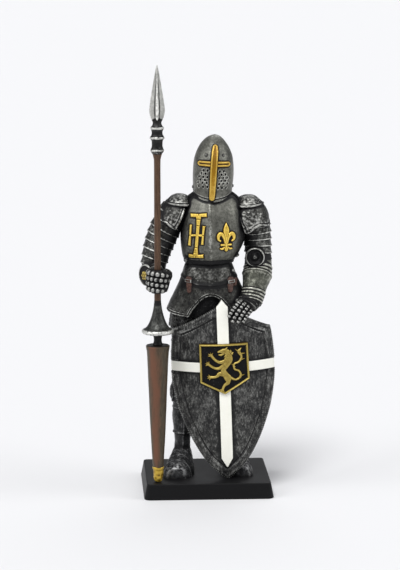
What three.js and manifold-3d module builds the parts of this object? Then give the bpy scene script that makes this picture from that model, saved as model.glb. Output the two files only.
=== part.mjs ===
// A painted resin figurine: a knight in a great helm with a lance and a tall shield, on a plinth.
// Millimetres, +Z up. The knight faces -Y, and +X is on the viewer's right.
// The origin is the centre of the plinth's underside.

import * as THREE from 'three';
import { mergeVertices } from 'three/addons/utils/BufferGeometryUtils.js';
import Module from 'manifold-3d';

const wasm = await Module();
wasm.setup();

// Driving dimensions
const HEIGHT = 178; // underside of the plinth to the tip of the lance
const GAP = 0.3; // clearance between pieces that are fitted round each other
const PLINTH = { width: 51, depth: 43, height: 6.5, slope: 1.2, corner: 1.5, soft: 0.5 };
const FLOOR = PLINTH.height; // the feet, the shield and the lance stand on the plinth's top
const LANCE = { x: -20.8, y: -16.9, shaft: 1.33, guard: 6.55, cone: 4.75, foot: 2.1 };
const SHIELD = { x: 8.2, height: 75.4, lean: 2.15, bend: 32, thick: 2.0, border: 3.0, raised: 0.45 };
const RELIEF = 0.5; // how far ornaments stand out of their plates

// Bodies are stacked level sections. Each row holds the height, the centre's x and y, the half
// width, and the depths in front of and behind the centre. Power 2 is an ellipse.
const HELM = {
  power: 2.15,
  keel: { x: 2.3, high: 0.35, spread: 2.2 },
  rows: [
    [121.2, 2.3, -0.2, 7.6, 9.1, 7.7],
    [127.0, 2.6, -0.1, 8.1, 9.5, 8.3],
    [132.6, 2.85, 0.1, 8.35, 9.5, 8.6],
    [138.8, 2.95, 0.3, 7.8, 8.5, 8.0],
    [142.8, 3.0, 0.5, 6.3, 6.6, 6.5],
    [145.8, 3.1, 0.7, 4.2, 4.3, 4.4],
    [147.4, 3.3, 0.8, 2.2, 2.2, 2.3],
    [148.1, 3.4, 0.8, 0.3, 0.3, 0.3],
  ],
};
const CHEST = {
  power: 2.3,
  keel: { x: 0.9, high: 0.7, spread: 1.5 },
  rows: [
    [95.2, 0.9, 0.0, 9.6, 8.8, 7.2],
    [96.4, 1.0, 0.0, 10.4, 9.9, 7.6],
    [100.0, 1.7, 0.0, 11.9, 11.6, 8.2],
    [105.0, 2.5, 0.0, 13.2, 12.7, 8.9],
    [110.5, 2.6, 0.0, 13.2, 12.5, 9.3],
    [115.5, 2.6, 0.0, 12.3, 11.4, 9.3],
    [119.5, 2.6, 0.2, 10.4, 9.9, 8.6],
    [122.5, 2.6, 0.4, 7.8, 8.3, 7.4],
    [124.5, 2.6, 0.4, 5.8, 6.6, 5.8],
  ],
};
const FAULD = {
  power: 2.3,
  keel: { x: 0.8, high: 0.2, spread: 2.5 },
  rows: [
    [96.6, 0.9, 0.0, 8.8, 8.2, 6.8],
    [94.3, 0.95, 0.0, 9.9, 9.0, 7.5],
    [90.0, 1.1, 0.0, 11.4, 9.8, 8.5],
    [86.4, 1.25, 0.0, 12.9, 10.3, 9.4],
    [82.0, 1.25, 0.0, 15.0, 10.9, 10.4],
    [77.0, 1.2, 0.0, 17.2, 11.4, 11.2],
    [74.0, 1.2, 0.0, 17.9, 11.6, 11.4],
  ],
};
const MAIL = {
  power: 2.3,
  keel: { x: 1, high: 0, spread: 1 },
  rows: [
    [90.0, 1.1, 0.0, 10.4, 8.6, 7.4],
    [82.0, 1.2, 0.0, 13.4, 9.4, 9.2],
    [75.0, 1.1, 0.0, 15.4, 9.5, 10.0],
    [68.4, 1.0, 0.2, 16.2, 9.0, 10.2],
  ],
};
const FAULD_SEAM = 86.8; // where the upper plate ends in front
const FAULD_SEAM_SIDE = 89.6; // and at the hips
const ARCH = { top: 83.8, corner: 74.2, side: 75.8, half: 0.58 }; // the opening in the skirt plate

// Legs, seen on the viewer's left and right, in the same rows as the bodies
const LEG_LEFT = [
  [75.0, -6.8, 0.3, 6.6, 7.0, 7.4],
  [66.0, -8.0, 0.0, 6.3, 6.8, 7.2],
  [56.0, -8.7, -0.6, 5.8, 6.1, 6.5],
  [49.5, -9.0, -1.1, 5.1, 5.3, 5.3],
  [42.0, -9.4, -1.5, 5.1, 6.3, 4.6],
  [36.0, -9.5, -0.9, 4.4, 4.8, 4.8],
  [30.0, -9.6, -0.2, 4.6, 4.3, 5.7],
  [24.5, -9.7, 0.4, 3.8, 3.9, 4.6],
  [21.0, -9.9, 0.7, 3.3, 3.7, 3.8],
  [15.0, -10.1, 0.9, 3.4, 4.0, 4.0],
];
const LEG_RIGHT_SHIFT = { hip: 1.9, ankle: 0.7, back: 2.0 }; // the far leg stands a little back
const HIP = 75; // heights of the joints of the legs
const KNEE = 42;
const ANKLE = 18;
const GREAVE_RIM = 23.4;
// Feet, from heel to toe: distance in front of the ankle, sideways, half width and height
const FOOT = [
  [-6.9, 0.5, 2.4, 4.6],
  [-5.6, 0.4, 3.7, 8.2],
  [-3.0, 0.3, 4.3, 12.0],
  [0.5, 0.0, 4.7, 13.2],
  [4.5, -0.5, 5.4, 10.2],
  [8.5, -1.2, 6.0, 7.6],
  [11.5, -1.8, 5.5, 6.1],
  [13.4, -2.1, 3.9, 4.6],
  [14.2, -2.3, 1.9, 2.8],
];
const SABATON_LAMES = 4;

// Limbs run along smooth paths. Each row holds the position along it, the point, and the half
// sizes across and in depth.
const UPPER_ARM_LEFT = [
  [0.0, -12.6, 0.6, 118.0, 5.6, 6.4],
  [0.35, -17.0, 0.8, 109.0, 6.2, 6.2],
  [0.7, -20.1, 0.7, 101.0, 5.7, 5.6],
  [1.0, -22.0, 0.5, 93.5, 4.9, 5.0],
];
const FOREARM_LEFT = [
  [0.0, -22.7, 1.6, 91.9, 4.6, 4.6],
  [0.4, -22.4, -3.6, 91.4, 4.4, 4.5],
  [0.8, -21.6, -9.0, 90.8, 3.6, 3.8],
  [1.0, -20.8, -13.6, 90.4, 3.5, 4.6],
];
const UPPER_ARM_RIGHT = [
  [0.0, 18.0, 0.6, 118.4, 5.4, 6.4],
  [0.35, 20.2, 0.9, 110.5, 5.9, 6.2],
  [0.7, 21.3, 0.9, 103.0, 5.4, 5.6],
  [1.0, 21.6, 0.4, 96.0, 5.2, 5.2],
];
const FOREARM_RIGHT = [
  [0.0, 21.6, 0.8, 98.0, 5.2, 5.2],
  [0.3, 21.4, -1.0, 91.8, 5.6, 5.3],
  [0.65, 20.2, -4.2, 86.0, 5.0, 4.7],
  [1.0, 18.0, -7.8, 79.4, 3.7, 3.6],
];
const ARM_LAMES = 6;

// Shoulder plates: the ellipsoid's centre and radii
const PAULDRON_LEFT = { centre: [-12.1, 0, 113.4], radii: [7.3, 9.1, 9.2], side: -1 };
const PAULDRON_RIGHT = { centre: [18.2, 0, 112.6], radii: [7.8, 9.1, 9.4], side: 1 };

const MATERIALS = {
  plinth: { color: 0x0b0b0c, roughness: 0.3, metalness: 0.0 },
  knight: { color: 0x55565a, roughness: 0.42, metalness: 0.75 },
  shield: { color: 0x3b3b3e, roughness: 0.5, metalness: 0.6 },
  lance: { color: 0x5d3f2d, roughness: 0.5, metalness: 0.1 },
};

const DEG = Math.PI / 180;
const point = (x, y, z) => new THREE.Vector3(x, y, z);
const mix = THREE.MathUtils.lerp;
const span = (count) => Array.from({ length: count }, (_, i) => i / (count - 1));

// Every column of a table of rows at position t, on smooth curves through the rows.
function station(rows, t) {
  const rising = rows[rows.length - 1][0] > rows[0][0] ? 1 : -1;
  const inside = rows.findIndex((row, k) => k > 0 && (row[0] - t) * rising >= 0);
  const i = (inside < 0 ? rows.length - 1 : inside) - 1;
  const [low, high] = [rows[i], rows[i + 1]];
  const step = high[0] - low[0];
  const s = THREE.MathUtils.clamp((t - low[0]) / step, 0, 1);
  const slope = (k, column) => {
    const [before, after] = [rows[Math.max(k - 1, 0)], rows[Math.min(k + 1, rows.length - 1)]];
    return (after[column] - before[column]) / (after[0] - before[0]);
  };
  return low.map((start, column) => {
    const end = high[column];
    const [from, to] = [slope(i, column) * step, slope(i + 1, column) * step];
    return (
      start * (1 + 2 * s) * (1 - s) ** 2 + from * s * (1 - s) ** 2
      + end * s * s * (3 - 2 * s) - to * s * s * (1 - s)
    );
  });
}

// A closed mesh over rings with equal counts of points. The first and last rings close in a fan,
// or join each other when the rings are looped. Faces are turned outwards.
function skin(rings, looped = false) {
  const sides = rings[0].length;
  const points = rings.flat();
  const faces = [];
  const bands = looped ? rings.length : rings.length - 1;
  for (let j = 0; j < bands; j += 1) {
    for (let k = 0; k < sides; k += 1) {
      const next = (k + 1) % sides;
      const [a, b] = [j * sides + k, j * sides + next];
      const above = ((j + 1) % rings.length) * sides;
      faces.push([a, b, above + next], [a, above + next, above + k]);
    }
  }
  if (!looped) {
    for (const j of [0, rings.length - 1]) {
      const middle = rings[j].reduce((sum, p) => sum.add(p), point(0, 0, 0)).divideScalar(sides);
      points.push(middle);
      for (let k = 0; k < sides; k += 1) {
        const [a, b] = [j * sides + k, j * sides + ((k + 1) % sides)];
        faces.push(j === 0 ? [b, a, points.length - 1] : [a, b, points.length - 1]);
      }
    }
  }
  const volume = faces.reduce((sum, [a, b, c]) => (
    sum + points[a].dot(point(0, 0, 0).crossVectors(points[b], points[c]))
  ), 0);
  const geometry = new THREE.BufferGeometry();
  geometry.setAttribute('position', new THREE.Float32BufferAttribute(
    points.flatMap((p) => [p.x, p.y, p.z]), 3));
  geometry.setIndex(faces.flatMap(([a, b, c]) => (volume < 0 ? [a, c, b] : [a, b, c])));
  return geometry;
}

// A geometry as a solid that can be joined and cut.
function solid(geometry) {
  const bare = geometry.clone();
  bare.deleteAttribute('normal');
  bare.deleteAttribute('uv');
  const merged = mergeVertices(bare, 1e-4);
  return new wasm.Manifold(new wasm.Mesh({
    numProp: 3,
    vertProperties: new Float32Array(merged.attributes.position.array),
    triVerts: new Uint32Array(merged.index.array),
  }));
}

const join = (geometries) => geometries.map(solid).reduce((whole, piece) => whole.add(piece));

// A solid as a flat-shaded mesh with its node's name.
function mesh(name, whole) {
  const { numProp, vertProperties, triVerts } = whole.getMesh();
  const geometry = new THREE.BufferGeometry();
  const positions = [];
  for (let i = 0; i < vertProperties.length; i += numProp) {
    positions.push(...vertProperties.slice(i, i + 3));
  }
  geometry.setAttribute('position', new THREE.Float32BufferAttribute(positions, 3));
  geometry.setIndex([...triVerts]);
  const result = new THREE.Mesh(geometry, new THREE.MeshStandardMaterial(MATERIALS[name]));
  result.name = name;
  return result;
}

// The point of a body's skin at an angle round it and a height. The angle is 0 at +X and
// -90 degrees in front. Swell moves the skin outwards.
function bodyPoint(body, angle, z, swell = 0) {
  const [, x, y, wide, front, back] = station(body.rows, z);
  const [c, s] = [Math.cos(angle), Math.sin(angle)];
  const bent = (value) => Math.sign(value) * Math.abs(value) ** (2 / body.power);
  const px = x + (wide + swell) * bent(c);
  const depth = s < 0 ? front : back;
  const ridge = s < 0 ? -s * body.keel.high * Math.exp(-(((px - body.keel.x) / body.keel.spread) ** 2)) : 0;
  return point(px, y + (depth + swell) * bent(s) - ridge, z);
}

// Puts a point in front of a body, at x and z and a lift above its skin.
function onFront(body) {
  return (x, z, lift) => {
    const [, middle, y, wide, front] = station(body.rows, z);
    const across = Math.min(Math.abs((x - middle) / wide), 0.999);
    const inward = (1 - across ** body.power) ** (1 / body.power);
    const ridge = Math.exp(-(((x - body.keel.x) / body.keel.spread) ** 2));
    return point(x, y - front * inward - body.keel.high * ridge - lift, z);
  };
}

// A level ring round a body. The height may depend on the angle.
function bodyRing(body, sides, height, swell = 0) {
  return Array.from({ length: sides }, (_, k) => {
    const angle = (2 * Math.PI * k) / sides;
    return bodyPoint(body, angle, typeof height === 'number' ? height : height(angle), swell);
  });
}

// Rings round a limb's path, at the given positions along it. The swell may depend on position.
function limbRings(rows, sides, positions, swells, facing = point(0, -1, 0)) {
  return positions.map((t, i) => {
    const [, x, y, z, wide, deep] = station(rows, t);
    const [, x0, y0, z0] = station(rows, Math.max(t - 0.02, 0));
    const [, x1, y1, z1] = station(rows, Math.min(t + 0.02, 1));
    const tangent = point(x1 - x0, y1 - y0, z1 - z0).normalize();
    const across = point(0, 0, 0).crossVectors(tangent, facing).normalize();
    const depth = point(0, 0, 0).crossVectors(across, tangent);
    return Array.from({ length: sides }, (_, k) => {
      const angle = (2 * Math.PI * k) / sides;
      return point(x, y, z)
        .addScaledVector(across, (wide + swells[i]) * Math.cos(angle))
        .addScaledVector(depth, (deep + swells[i]) * Math.sin(angle));
    });
  });
}

// A limb covered by overlapping lames: each widens to its lower edge, then steps back in.
function lamedLimb(rows, sides, lames, flare, from = 0, to = 1, facing = undefined) {
  const edge = 0.012;
  const positions = [];
  const swells = [];
  for (let k = 0; k < lames; k += 1) {
    positions.push(mix(from, to, k / lames) + (k ? edge : 0), mix(from, to, (k + 1) / lames));
    swells.push(0, flare);
  }
  return skin(limbRings(rows, sides, positions, swells, facing));
}

// A part of an ellipsoid round a pole, closed behind. Reach gives the rim's angle from the pole
// in each direction away from it.
function dome({ centre, radii, pole, up = [0, 0, 1], reach, rings = 5, sides = 20 }) {
  const axis = point(...pole).normalize();
  const across = point(0, 0, 0).crossVectors(point(...up), axis).normalize();
  const high = point(0, 0, 0).crossVectors(axis, across);
  const rows = span(rings).slice(1).map((t) => Array.from({ length: sides }, (_, k) => {
    const round = (2 * Math.PI * k) / sides;
    const tangent = across.clone().multiplyScalar(Math.cos(round))
      .addScaledVector(high, Math.sin(round));
    const away = t * reach(tangent);
    const direction = axis.clone().multiplyScalar(Math.cos(away))
      .addScaledVector(tangent, Math.sin(away));
    const scale = 1 / Math.hypot(direction.x / radii[0], direction.y / radii[1], direction.z / radii[2]);
    return point(...centre).addScaledVector(direction, scale);
  }));
  const tip = rows[0].reduce((sum, p) => sum.add(p), point(0, 0, 0)).divideScalar(sides);
  const crown = rows[0].map((p) => p.clone().lerp(tip, 0.9));
  return skin([crown, ...rows]);
}

// Points across a stroke: the fraction of the half width, and the lift above the surface.
const FLAT = [[-1, -0.7], [-0.75, RELIEF], [0.75, RELIEF], [1, -0.7]];
const RIDGE = [[-1, -0.3], [0, RELIEF], [1, -0.3]];
const SLOT = [
  [-1, -0.7], [-0.92, RELIEF], [-0.4, RELIEF], [-0.3, 0.05], [0.3, 0.05], [0.4, RELIEF],
  [0.92, RELIEF], [1, -0.7],
];
const SLOT_END = SLOT.map(([across, lift]) => [across, lift < 0 ? lift : RELIEF]);

// A raised stroke. Rows hold two plane coordinates and the half width, and place(u, v, lift) puts
// a point of the plane on the carrying surface.
function stroke(rows, place, section = () => FLAT) {
  return skin(rows.map(([u, v, half], i) => {
    const [before, after] = [rows[Math.max(i - 1, 0)], rows[Math.min(i + 1, rows.length - 1)]];
    const side = new THREE.Vector2(before[1] - after[1], after[0] - before[0]).normalize();
    return section(i).map(([across, lift]) => (
      place(u + side.x * half * across, v + side.y * half * across, lift)
    ));
  }));
}

// The rows of a straight stroke in equal steps.
const bar = (x0, z0, x1, z1, half, steps = 2) => (
  span(steps + 1).map((t) => [mix(x0, x1, t), mix(z0, z1, t), half])
);

// A round stud, half sunk into the plate at its centre.
const stud = (at, radius, pole) => dome({
  centre: [at.x, at.y, at.z], radii: [radius, radius, radius], pole, up: [0.2, 0.1, 1],
  reach: () => 1.9, rings: 2, sides: 6,
});

// Great helm, with its cross of eye slits
function helm() {
  const dip = (angle) => 123.7 - 2.3 * Math.max(0, -Math.sin(angle)) ** 1.5;
  const heights = [0, 0.2, 0.4, 0.58, 0.72, 0.84, 0.94, 1];
  const top = HELM.rows[HELM.rows.length - 1][0];
  const rings = heights.map((t) => bodyRing(HELM, 20, (angle) => mix(dip(angle), top, t)));
  const front = onFront(HELM);
  const slits = stroke(bar(-4.1, 136.9, 9.7, 136.5, 1.3, 6), front, (i) => (i % 6 ? SLOT : SLOT_END));
  const upright = stroke([
    [3.3, 145.0, 0.8], [3.15, 143.6, 1.3], [2.6, 136.7, 1.4], [2.1, 129, 1.35], [1.65, 122.8, 1.15],
    [1.6, 121.7, 0.7],
  ], (x, z, lift) => front(x, z, lift < 0 ? lift : lift + 0.2));
  return [skin(rings), slits, upright];
}

// Breastplate and backplate in one, with the two gold charges
function cuirass() {
  const heights = CHEST.rows.map((row) => row[0]);
  const front = onFront(CHEST);
  const potent = [
    bar(-6.9, 116.0, -0.5, 116.1, 0.75), bar(-8.0, 99.4, -1.6, 99.0, 0.8),
    [[-3.7, 115.8, 1.2], [-3.9, 112, 0.75], [-4.7, 103, 0.75], [-4.9, 99.4, 1.2]],
    bar(-7.1, 112.2, -7.9, 103.4, 0.55, 1), bar(-1.5, 112.0, -2.5, 104.2, 0.6, 1),
    bar(-7.4, 107.9, -1.8, 108.1, 0.55, 1),
  ];
  const [x, z] = [7.4, 107.6];
  const lily = [
    [[x, z + 5.5, 0.2], [x + 0.1, z + 3.2, 1.1], [x, z - 2.2, 0.45], [x + 0.1, z - 4.6, 0.9],
      [x + 0.1, z - 6.1, 0.2]],
    bar(x - 2.4, z - 4.3, x + 2.6, z - 4.2, 0.5, 1),
    ...[-1, 1].map((side) => [
      [x + side * 0.5, z - 1.8, 0.6], [x + side * 1.4, z + 0.6, 0.7],
      [x + side * 3.1, z + 1.0, 0.75], [x + side * 3.1, z - 1.1, 0.4],
    ]),
  ];
  return [
    skin(heights.map((height) => bodyRing(CHEST, 20, height))),
    ...potent.map((rows) => stroke(rows, front)),
    ...lily.map((rows) => stroke(rows, front, () => RIDGE)),
  ];
}

// The hem of the skirt plate at an angle: an arch in front, then a slow rise to the sides
function hem(angle) {
  const turned = Math.abs(Math.atan2(Math.cos(angle), -Math.sin(angle)));
  const inside = Math.min(turned / ARCH.half, 1);
  const outside = THREE.MathUtils.clamp((turned - ARCH.half) / (Math.PI / 2 - ARCH.half), 0, 1);
  return mix(mix(ARCH.top, ARCH.corner, inside ** 2), ARCH.side, outside);
}

// The waist plate over the flared skirt plate with its arch, the mail below, straps and buckles
function waist() {
  const seam = (angle) => mix(FAULD_SEAM_SIDE, FAULD_SEAM, Math.abs(Math.sin(angle)) ** 2);
  const ring = (height, swell) => bodyRing(FAULD, 24, height, swell);
  const down = (t) => (angle) => mix(seam(angle), hem(angle), t);
  const plates = skin([
    ring(96.4, 0), ring(94.3, 0), ring(91.4, 0), ring((angle) => seam(angle) + 0.5, 0.45),
    ring(seam, 0.4), ring(down(0.06), 0), ring(down(0.5), 0), ring(down(0.9), 0),
    ring(down(0.92), 0.35), ring(hem, 0.35), ring(hem, -1.0), ring(88, -2.6),
  ]);
  const mail = skin(MAIL.rows.map((row) => bodyRing(MAIL, 16, row[0])));
  const front = onFront(FAULD);
  const straps = [[-7.4, 90.6, -7.6, 84.2], [9.2, 90.2, 9.3, 84.0]].map(([x0, z0, x1, z1]) => (
    stroke(bar(x0, z0, x1, z1, 1.15, 2), (x, z, lift) => front(x, z, lift * 1.4))
  ));
  const buckles = [[CHEST, -149, 97.3], [FAULD, -157, 94.4], [CHEST, -27, 99.1], [FAULD, -31, 92.2]];
  return [plates, mail, ...straps, ...buckles.map(([body, degrees, z]) => {
    const angle = degrees * DEG;
    return stud(bodyPoint(body, angle, z), 1.1, [Math.cos(angle), Math.sin(angle), 0]);
  })];
}

// Shoulder plates: a low collar lame over a large plate that runs down to a point in front
function pauldron({ centre: [x, y, z], radii: [wide, deep, high], side }) {
  const downIn = point(-side * 0.42, -0.25, -0.87);
  const plate = dome({
    centre: [x, y, z], radii: [wide, deep, high], pole: [side * 0.5, -0.5, 0.7], sides: 18, rings: 5,
    reach: (tangent) => 1.2 + 0.3 * Math.max(0, tangent.dot(downIn)) ** 5,
  });
  const collar = dome({
    centre: [x - side, y + 0.2, z + 3.3], radii: [wide * 0.9, deep * 0.95, high * 0.78],
    pole: [-side * 0.06, -0.1, 1], up: [0, 1, 0], sides: 14, rings: 4, reach: () => 1.1,
  });
  return [plate, collar];
}

// The arm on the viewer's left, bent forwards to the lance, with its elbow cup and rosette
function lanceArm() {
  const cup = dome({
    centre: [-22.9, -0.4, 91.5], radii: [5.2, 6.4, 5.4], pole: [-0.9, -0.1, -0.2],
    reach: () => 1.5, rings: 4, sides: 12,
  });
  return [
    lamedLimb(UPPER_ARM_LEFT, 10, ARM_LAMES, 0.5),
    lamedLimb(FOREARM_LEFT, 10, 2, 0.35, 0, 1, point(0, 0, 1)),
    cup, stud(point(-26.1, -5.0, 90.8), 1.4, [-0.62, -0.78, 0]),
  ];
}

// The arm on the viewer's right, down to the wrist, with its round elbow disc
function shieldArm() {
  const front = dome({
    centre: [20.4, -2.6, 97.6], radii: [3.6, 3.6, 3.7], pole: [-0.1, -1, 0.05],
    reach: () => 1.3, rings: 3, sides: 12,
  });
  const positions = [0, 0.16, 0.18, 0.36, 0.38, 0.72, 0.74, 0.84, 0.86, 1];
  const swells = [0.2, 0.6, 0.1, 0.7, 0.1, 0.1, 0.6, 0.4, 0.9, 1.1];
  return [
    lamedLimb(UPPER_ARM_RIGHT, 10, ARM_LAMES, 0.5),
    skin(limbRings(FOREARM_RIGHT, 10, positions, swells)),
    front,
  ];
}

// A finger of beaded plates along a path of rows
function finger(rows, beads, sides = 4) {
  const positions = span(2 * beads + 1);
  const swells = positions.map((_, k) => (k % 2 ? 0.15 : -0.25));
  return skin(limbRings(rows, sides, positions, swells, point(0.1, 0.2, 1)));
}

// The fist round the lance: four stacked fingers of beaded plates, with the thumb on the inside
function fist() {
  const fingers = 4;
  const sides = 16;
  const [low, high] = [84.6, 96.0];
  const rings = span(4 * fingers + 1).filter((_, j) => j % 2 === 0).map((t, j) => (
    Array.from({ length: sides }, (_, k) => {
      const angle = (2 * Math.PI * k) / sides;
      const front = Math.max(0, -Math.sin(angle));
      const groove = j % 2 ? 0.3 : -0.5;
      const bead = front * (k % 2 ? 0.25 : -0.25);
      const taper = 1 - 0.12 * (1 - t);
      return point(
        LANCE.x + 1.1 + (4.6 * taper + groove + bead) * Math.cos(angle),
        LANCE.y + 0.4 + (4.3 * taper + groove + bead) * Math.sin(angle), mix(low, high, t));
    })
  ));
  const thumb = finger([
    [0, LANCE.x + 4.2, LANCE.y + 4.6, 93.0, 1.6, 1.6],
    [0.5, LANCE.x + 5.3, LANCE.y + 1.6, 94.6, 1.5, 1.5],
    [1, LANCE.x + 4.4, LANCE.y - 2.0, 95.0, 1.3, 1.3],
  ], 2);
  return [skin(rings), thumb];
}

// The open hand on the shield's top edge
function openHand() {
  const back = skin(limbRings([
    [0, 18.4, -7.2, 80.4, 3.9, 3.4],
    [0.5, 16.8, -9.8, 79.6, 4.4, 2.6],
    [1, 15.2, -13.0, 78.9, 4.5, 1.9],
  ], 10, [0, 0.35, 0.7, 1], [0, 0.3, 0.2, -0.2], point(0.3, -0.3, 1)));
  const knuckles = [[11.9, -14.3, 80.9], [13.9, -14.1, 79.7], [16.2, -13.2, 78.7], [18.2, -12.0, 77.7]];
  const tips = [[8.3, -17.4, 75.4], [9.7, -17.7, 73.5], [12.0, -17.6, 73.2], [14.4, -17.2, 73.2]];
  const fingers = knuckles.map(([x, y, z], i) => {
    const [tx, ty, tz] = tips[i];
    return finger([
      [0, x + 1.6, y + 2.4, z - 0.4, 1.1, 1.1],
      [0.35, x - 0.2, y - 1.1, z - 0.2, 1.15, 1.15],
      [0.7, mix(x, tx, 0.6), mix(y, ty, 0.85), mix(z, tz, 0.5), 1.1, 1.1],
      [1, tx, ty, tz, 0.85, 0.85],
    ], 3);
  });
  return [back, ...fingers];
}

// One leg: thigh, knee cap with its side wing, greave and a foot of overlapping lames
function leg(side) {
  const far = side > 0;
  const rows = LEG_LEFT.map(([z, x, y, ...sizes]) => {
    const down = (HIP - z) / (HIP - ANKLE);
    const shift = mix(LEG_RIGHT_SHIFT.hip, LEG_RIGHT_SHIFT.ankle, down);
    return far ? [z, shift - x, y + LEG_RIGHT_SHIFT.back * down, ...sizes] : [z, x, y, ...sizes];
  });
  const body = { power: 2.1, rows, keel: { x: 0, high: 0, spread: 1 } };
  const heights = [
    [HIP, 0], [64, 0], [49.4, 0], [48.9, 0.6], [47.4, 0], [KNEE, 0.2], [37.4, 0], [36.2, 0.6],
    [35.8, 0], [30, 0], [GREAVE_RIM + 1, 0], [GREAVE_RIM, 0.5], [GREAVE_RIM - 0.4, 0], [12, 0],
  ];
  const shank = skin(heights.map(([z, swell]) => bodyRing(body, 10, z, swell)));
  const [, kneeX, kneeY] = station(rows, KNEE);
  const wing = dome({
    centre: [kneeX + side * 3.7, kneeY + 0.4, KNEE - 1.0], radii: [2.2, 3.8, 4.2], pole: [side, 0, 0],
    reach: () => 1.35, rings: 3, sides: 10,
  });
  const [, ankleX, ankleY] = station(rows, ANKLE);
  return [shank, wing, foot(ankleX, ankleY, side)];
}

function foot(x, y, side) {
  const sides = 10;
  const ring = (forward, swell) => {
    const [, turned, wide, high] = station(FOOT, forward);
    return Array.from({ length: sides }, (_, k) => {
      const angle = (2 * Math.PI * k) / sides;
      const lift = Math.max(0, Math.sin(angle)) ** 0.8;
      return point(x - side * turned + (wide + swell) * Math.cos(angle), y - forward,
        FLOOR + (high + swell) * lift);
    });
  };
  const [ankle, toe] = [2.5, 13.0];
  const rings = [-6.9, -5.8, -3, ankle].map((forward) => ring(forward, 0));
  for (let k = 0; k < SABATON_LAMES; k += 1) {
    rings.push(ring(mix(ankle, toe, k / SABATON_LAMES) + 0.15, 0.35));
    rings.push(ring(mix(ankle, toe, (k + 1) / SABATON_LAMES), 0));
  }
  rings.push(ring(14.2, 0));
  return skin(rings);
}

// Points of the shield's outline, from the tip up its right side, across the top and down again,
// as distance from the axis and height above the tip
function shieldOutline() {
  const flank = [
    [0.0, 0.35], [2.2, 3.0], [6.8, 7.7], [12.0, 11.3], [20.0, 15.3], [30.0, 18.9], [42.0, 21.1],
    [52.0, 21.2], [60.0, 20.4], [63.4, 19.8],
  ];
  const crest = [[19.8, 63.4], [17.8, 64.2], [13.2, 66.4], [7.6, 69.4], [2.6, 72.4], [0, 75.4]];
  const steps = [0, 2.4, 7, 12.5, 19, 27, 36, 46, 56];
  const right = [
    ...steps.map((v) => [station(flank, v)[1], v]),
    ...crest.slice(0, -1),
  ];
  return [...right, [0, SHIELD.height], ...right.slice().reverse().map(([u, v]) => [-u, v])];
}

// The shield stands on its tip, leans with its top towards -X and is bent round its long axis.
function shieldPoint(u, v, lift) {
  const lean = SHIELD.lean * DEG;
  const face = -15.7 + 2.3 * (1 - Math.min(v / 40, 1)) ** 2;
  const bend = SHIELD.bend - Math.sqrt(SHIELD.bend ** 2 - u * u);
  return point(
    SHIELD.x + u * Math.cos(lean) - v * Math.sin(lean),
    face + bend - lift,
    FLOOR + 0.05 + v * Math.cos(lean) + u * Math.sin(lean) * 0.6,
  );
}

function shield(grow = 0) {
  const outline = shieldOutline();
  const centre = [0, 44];
  const inward = outline.map((_, i) => {
    const [before, after] = [outline.at(i - 1), outline[(i + 1) % outline.length]];
    return new THREE.Vector2(before[1] - after[1], after[0] - before[0]).normalize();
  });
  const inset = (distance) => outline.map(([u, v], i) => (
    [u + inward[i].x * distance, v + inward[i].y * distance]
  ));
  const shrunk = (ring, scale) => ring.map(([u, v]) => (
    [mix(centre[0], u, scale), mix(centre[1], v, scale)]
  ));
  const { border, raised, thick } = SHIELD;
  const layers = [
    [shrunk(inset(border), 0.5), 0], [inset(border), 0],
    [inset(border - 0.5), raised], [inset(0.6), raised], [inset(0), 0], [inset(0), -thick + 0.2],
    [inset(0.4), -thick], [shrunk(inset(border), 0.5), -thick],
  ];
  const outer = 5;
  return skin(layers.map(([ring, lift], j) => ring.map(([u, v]) => {
    const far = Math.hypot(u - centre[0], v - centre[1]) || 1;
    const out = grow * Math.min(far / 12, 1) * 1.3;
    const [pu, pv] = [u + (out * (u - centre[0])) / far, v + (out * (v - centre[1])) / far];
    return shieldPoint(pu, pv, lift + (j < outer ? grow : -grow));
  })));
}

// The small framed escutcheon with a rampant lion, on the shield's face
function escutcheon() {
  const corners = [[-9.9, 57.2], [9.9, 57.2], [10.2, 42.2], [0, 35.8], [-10.2, 41.0]];
  const outline = corners.flatMap(([u, v], i) => {
    const [nextU, nextV] = corners[(i + 1) % corners.length];
    return [0, 0.5].map((t) => [mix(u, nextU, t), mix(v, nextV, t)]);
  });
  const centre = [0, 48];
  const ring = (scale, lift) => outline.map(([u, v]) => (
    shieldPoint(mix(centre[0], u, scale), mix(centre[1], v, scale), lift)
  ));
  const plate = skin([
    ring(1, -0.8), ring(1, 0.9), ring(0.97, 1.1), ring(0.89, 1.1), ring(0.86, 0.6), ring(0.4, 0.6),
  ]);
  const lion = [
    [[0.2, 2.4, 1.5], [-0.2, 0.2, 1.2], [0.9, -2.0, 1.2], [1.8, -3.8, 1.3]],
    [[1.4, 5.6, 0.8], [0.6, 4.0, 1.6], [0.1, 2.2, 1.3]],
    [[1.2, 5.2, 1.2], [-0.8, 5.3, 1.0], [-2.0, 4.8, 0.6]],
    [[-0.4, 2.6, 0.7], [-3.2, 2.5, 0.55], [-5.2, 4.4, 0.5], [-6.6, 4.9, 0.85]],
    [[-0.4, 0.8, 0.7], [-3.0, -0.3, 0.55], [-4.8, 1.4, 0.5], [-6.4, 1.3, 0.8]],
    [[0.8, -3.0, 0.9], [-2.6, -3.0, 0.6], [-3.2, -5.0, 0.5], [-5.6, -4.6, 0.8]],
    [[1.6, -3.6, 0.9], [4.2, -5.2, 0.6], [2.2, -7.0, 0.5], [-0.2, -8.0, 0.8]],
    [[2.2, -3.0, 0.4], [5.2, -3.4, 0.35], [5.6, -0.8, 0.35], [4.0, 1.2, 0.35], [5.4, 3.4, 0.5],
      [6.0, 5.8, 0.7], [5.6, 7.0, 0.3]],
  ];
  const place = (u, v, lift) => shieldPoint(u, 48.6 + v, lift + 0.6);
  const strokes = lion.map((rows) => stroke(rows, place, () => RIDGE));
  return [plate, ...strokes];
}

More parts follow.
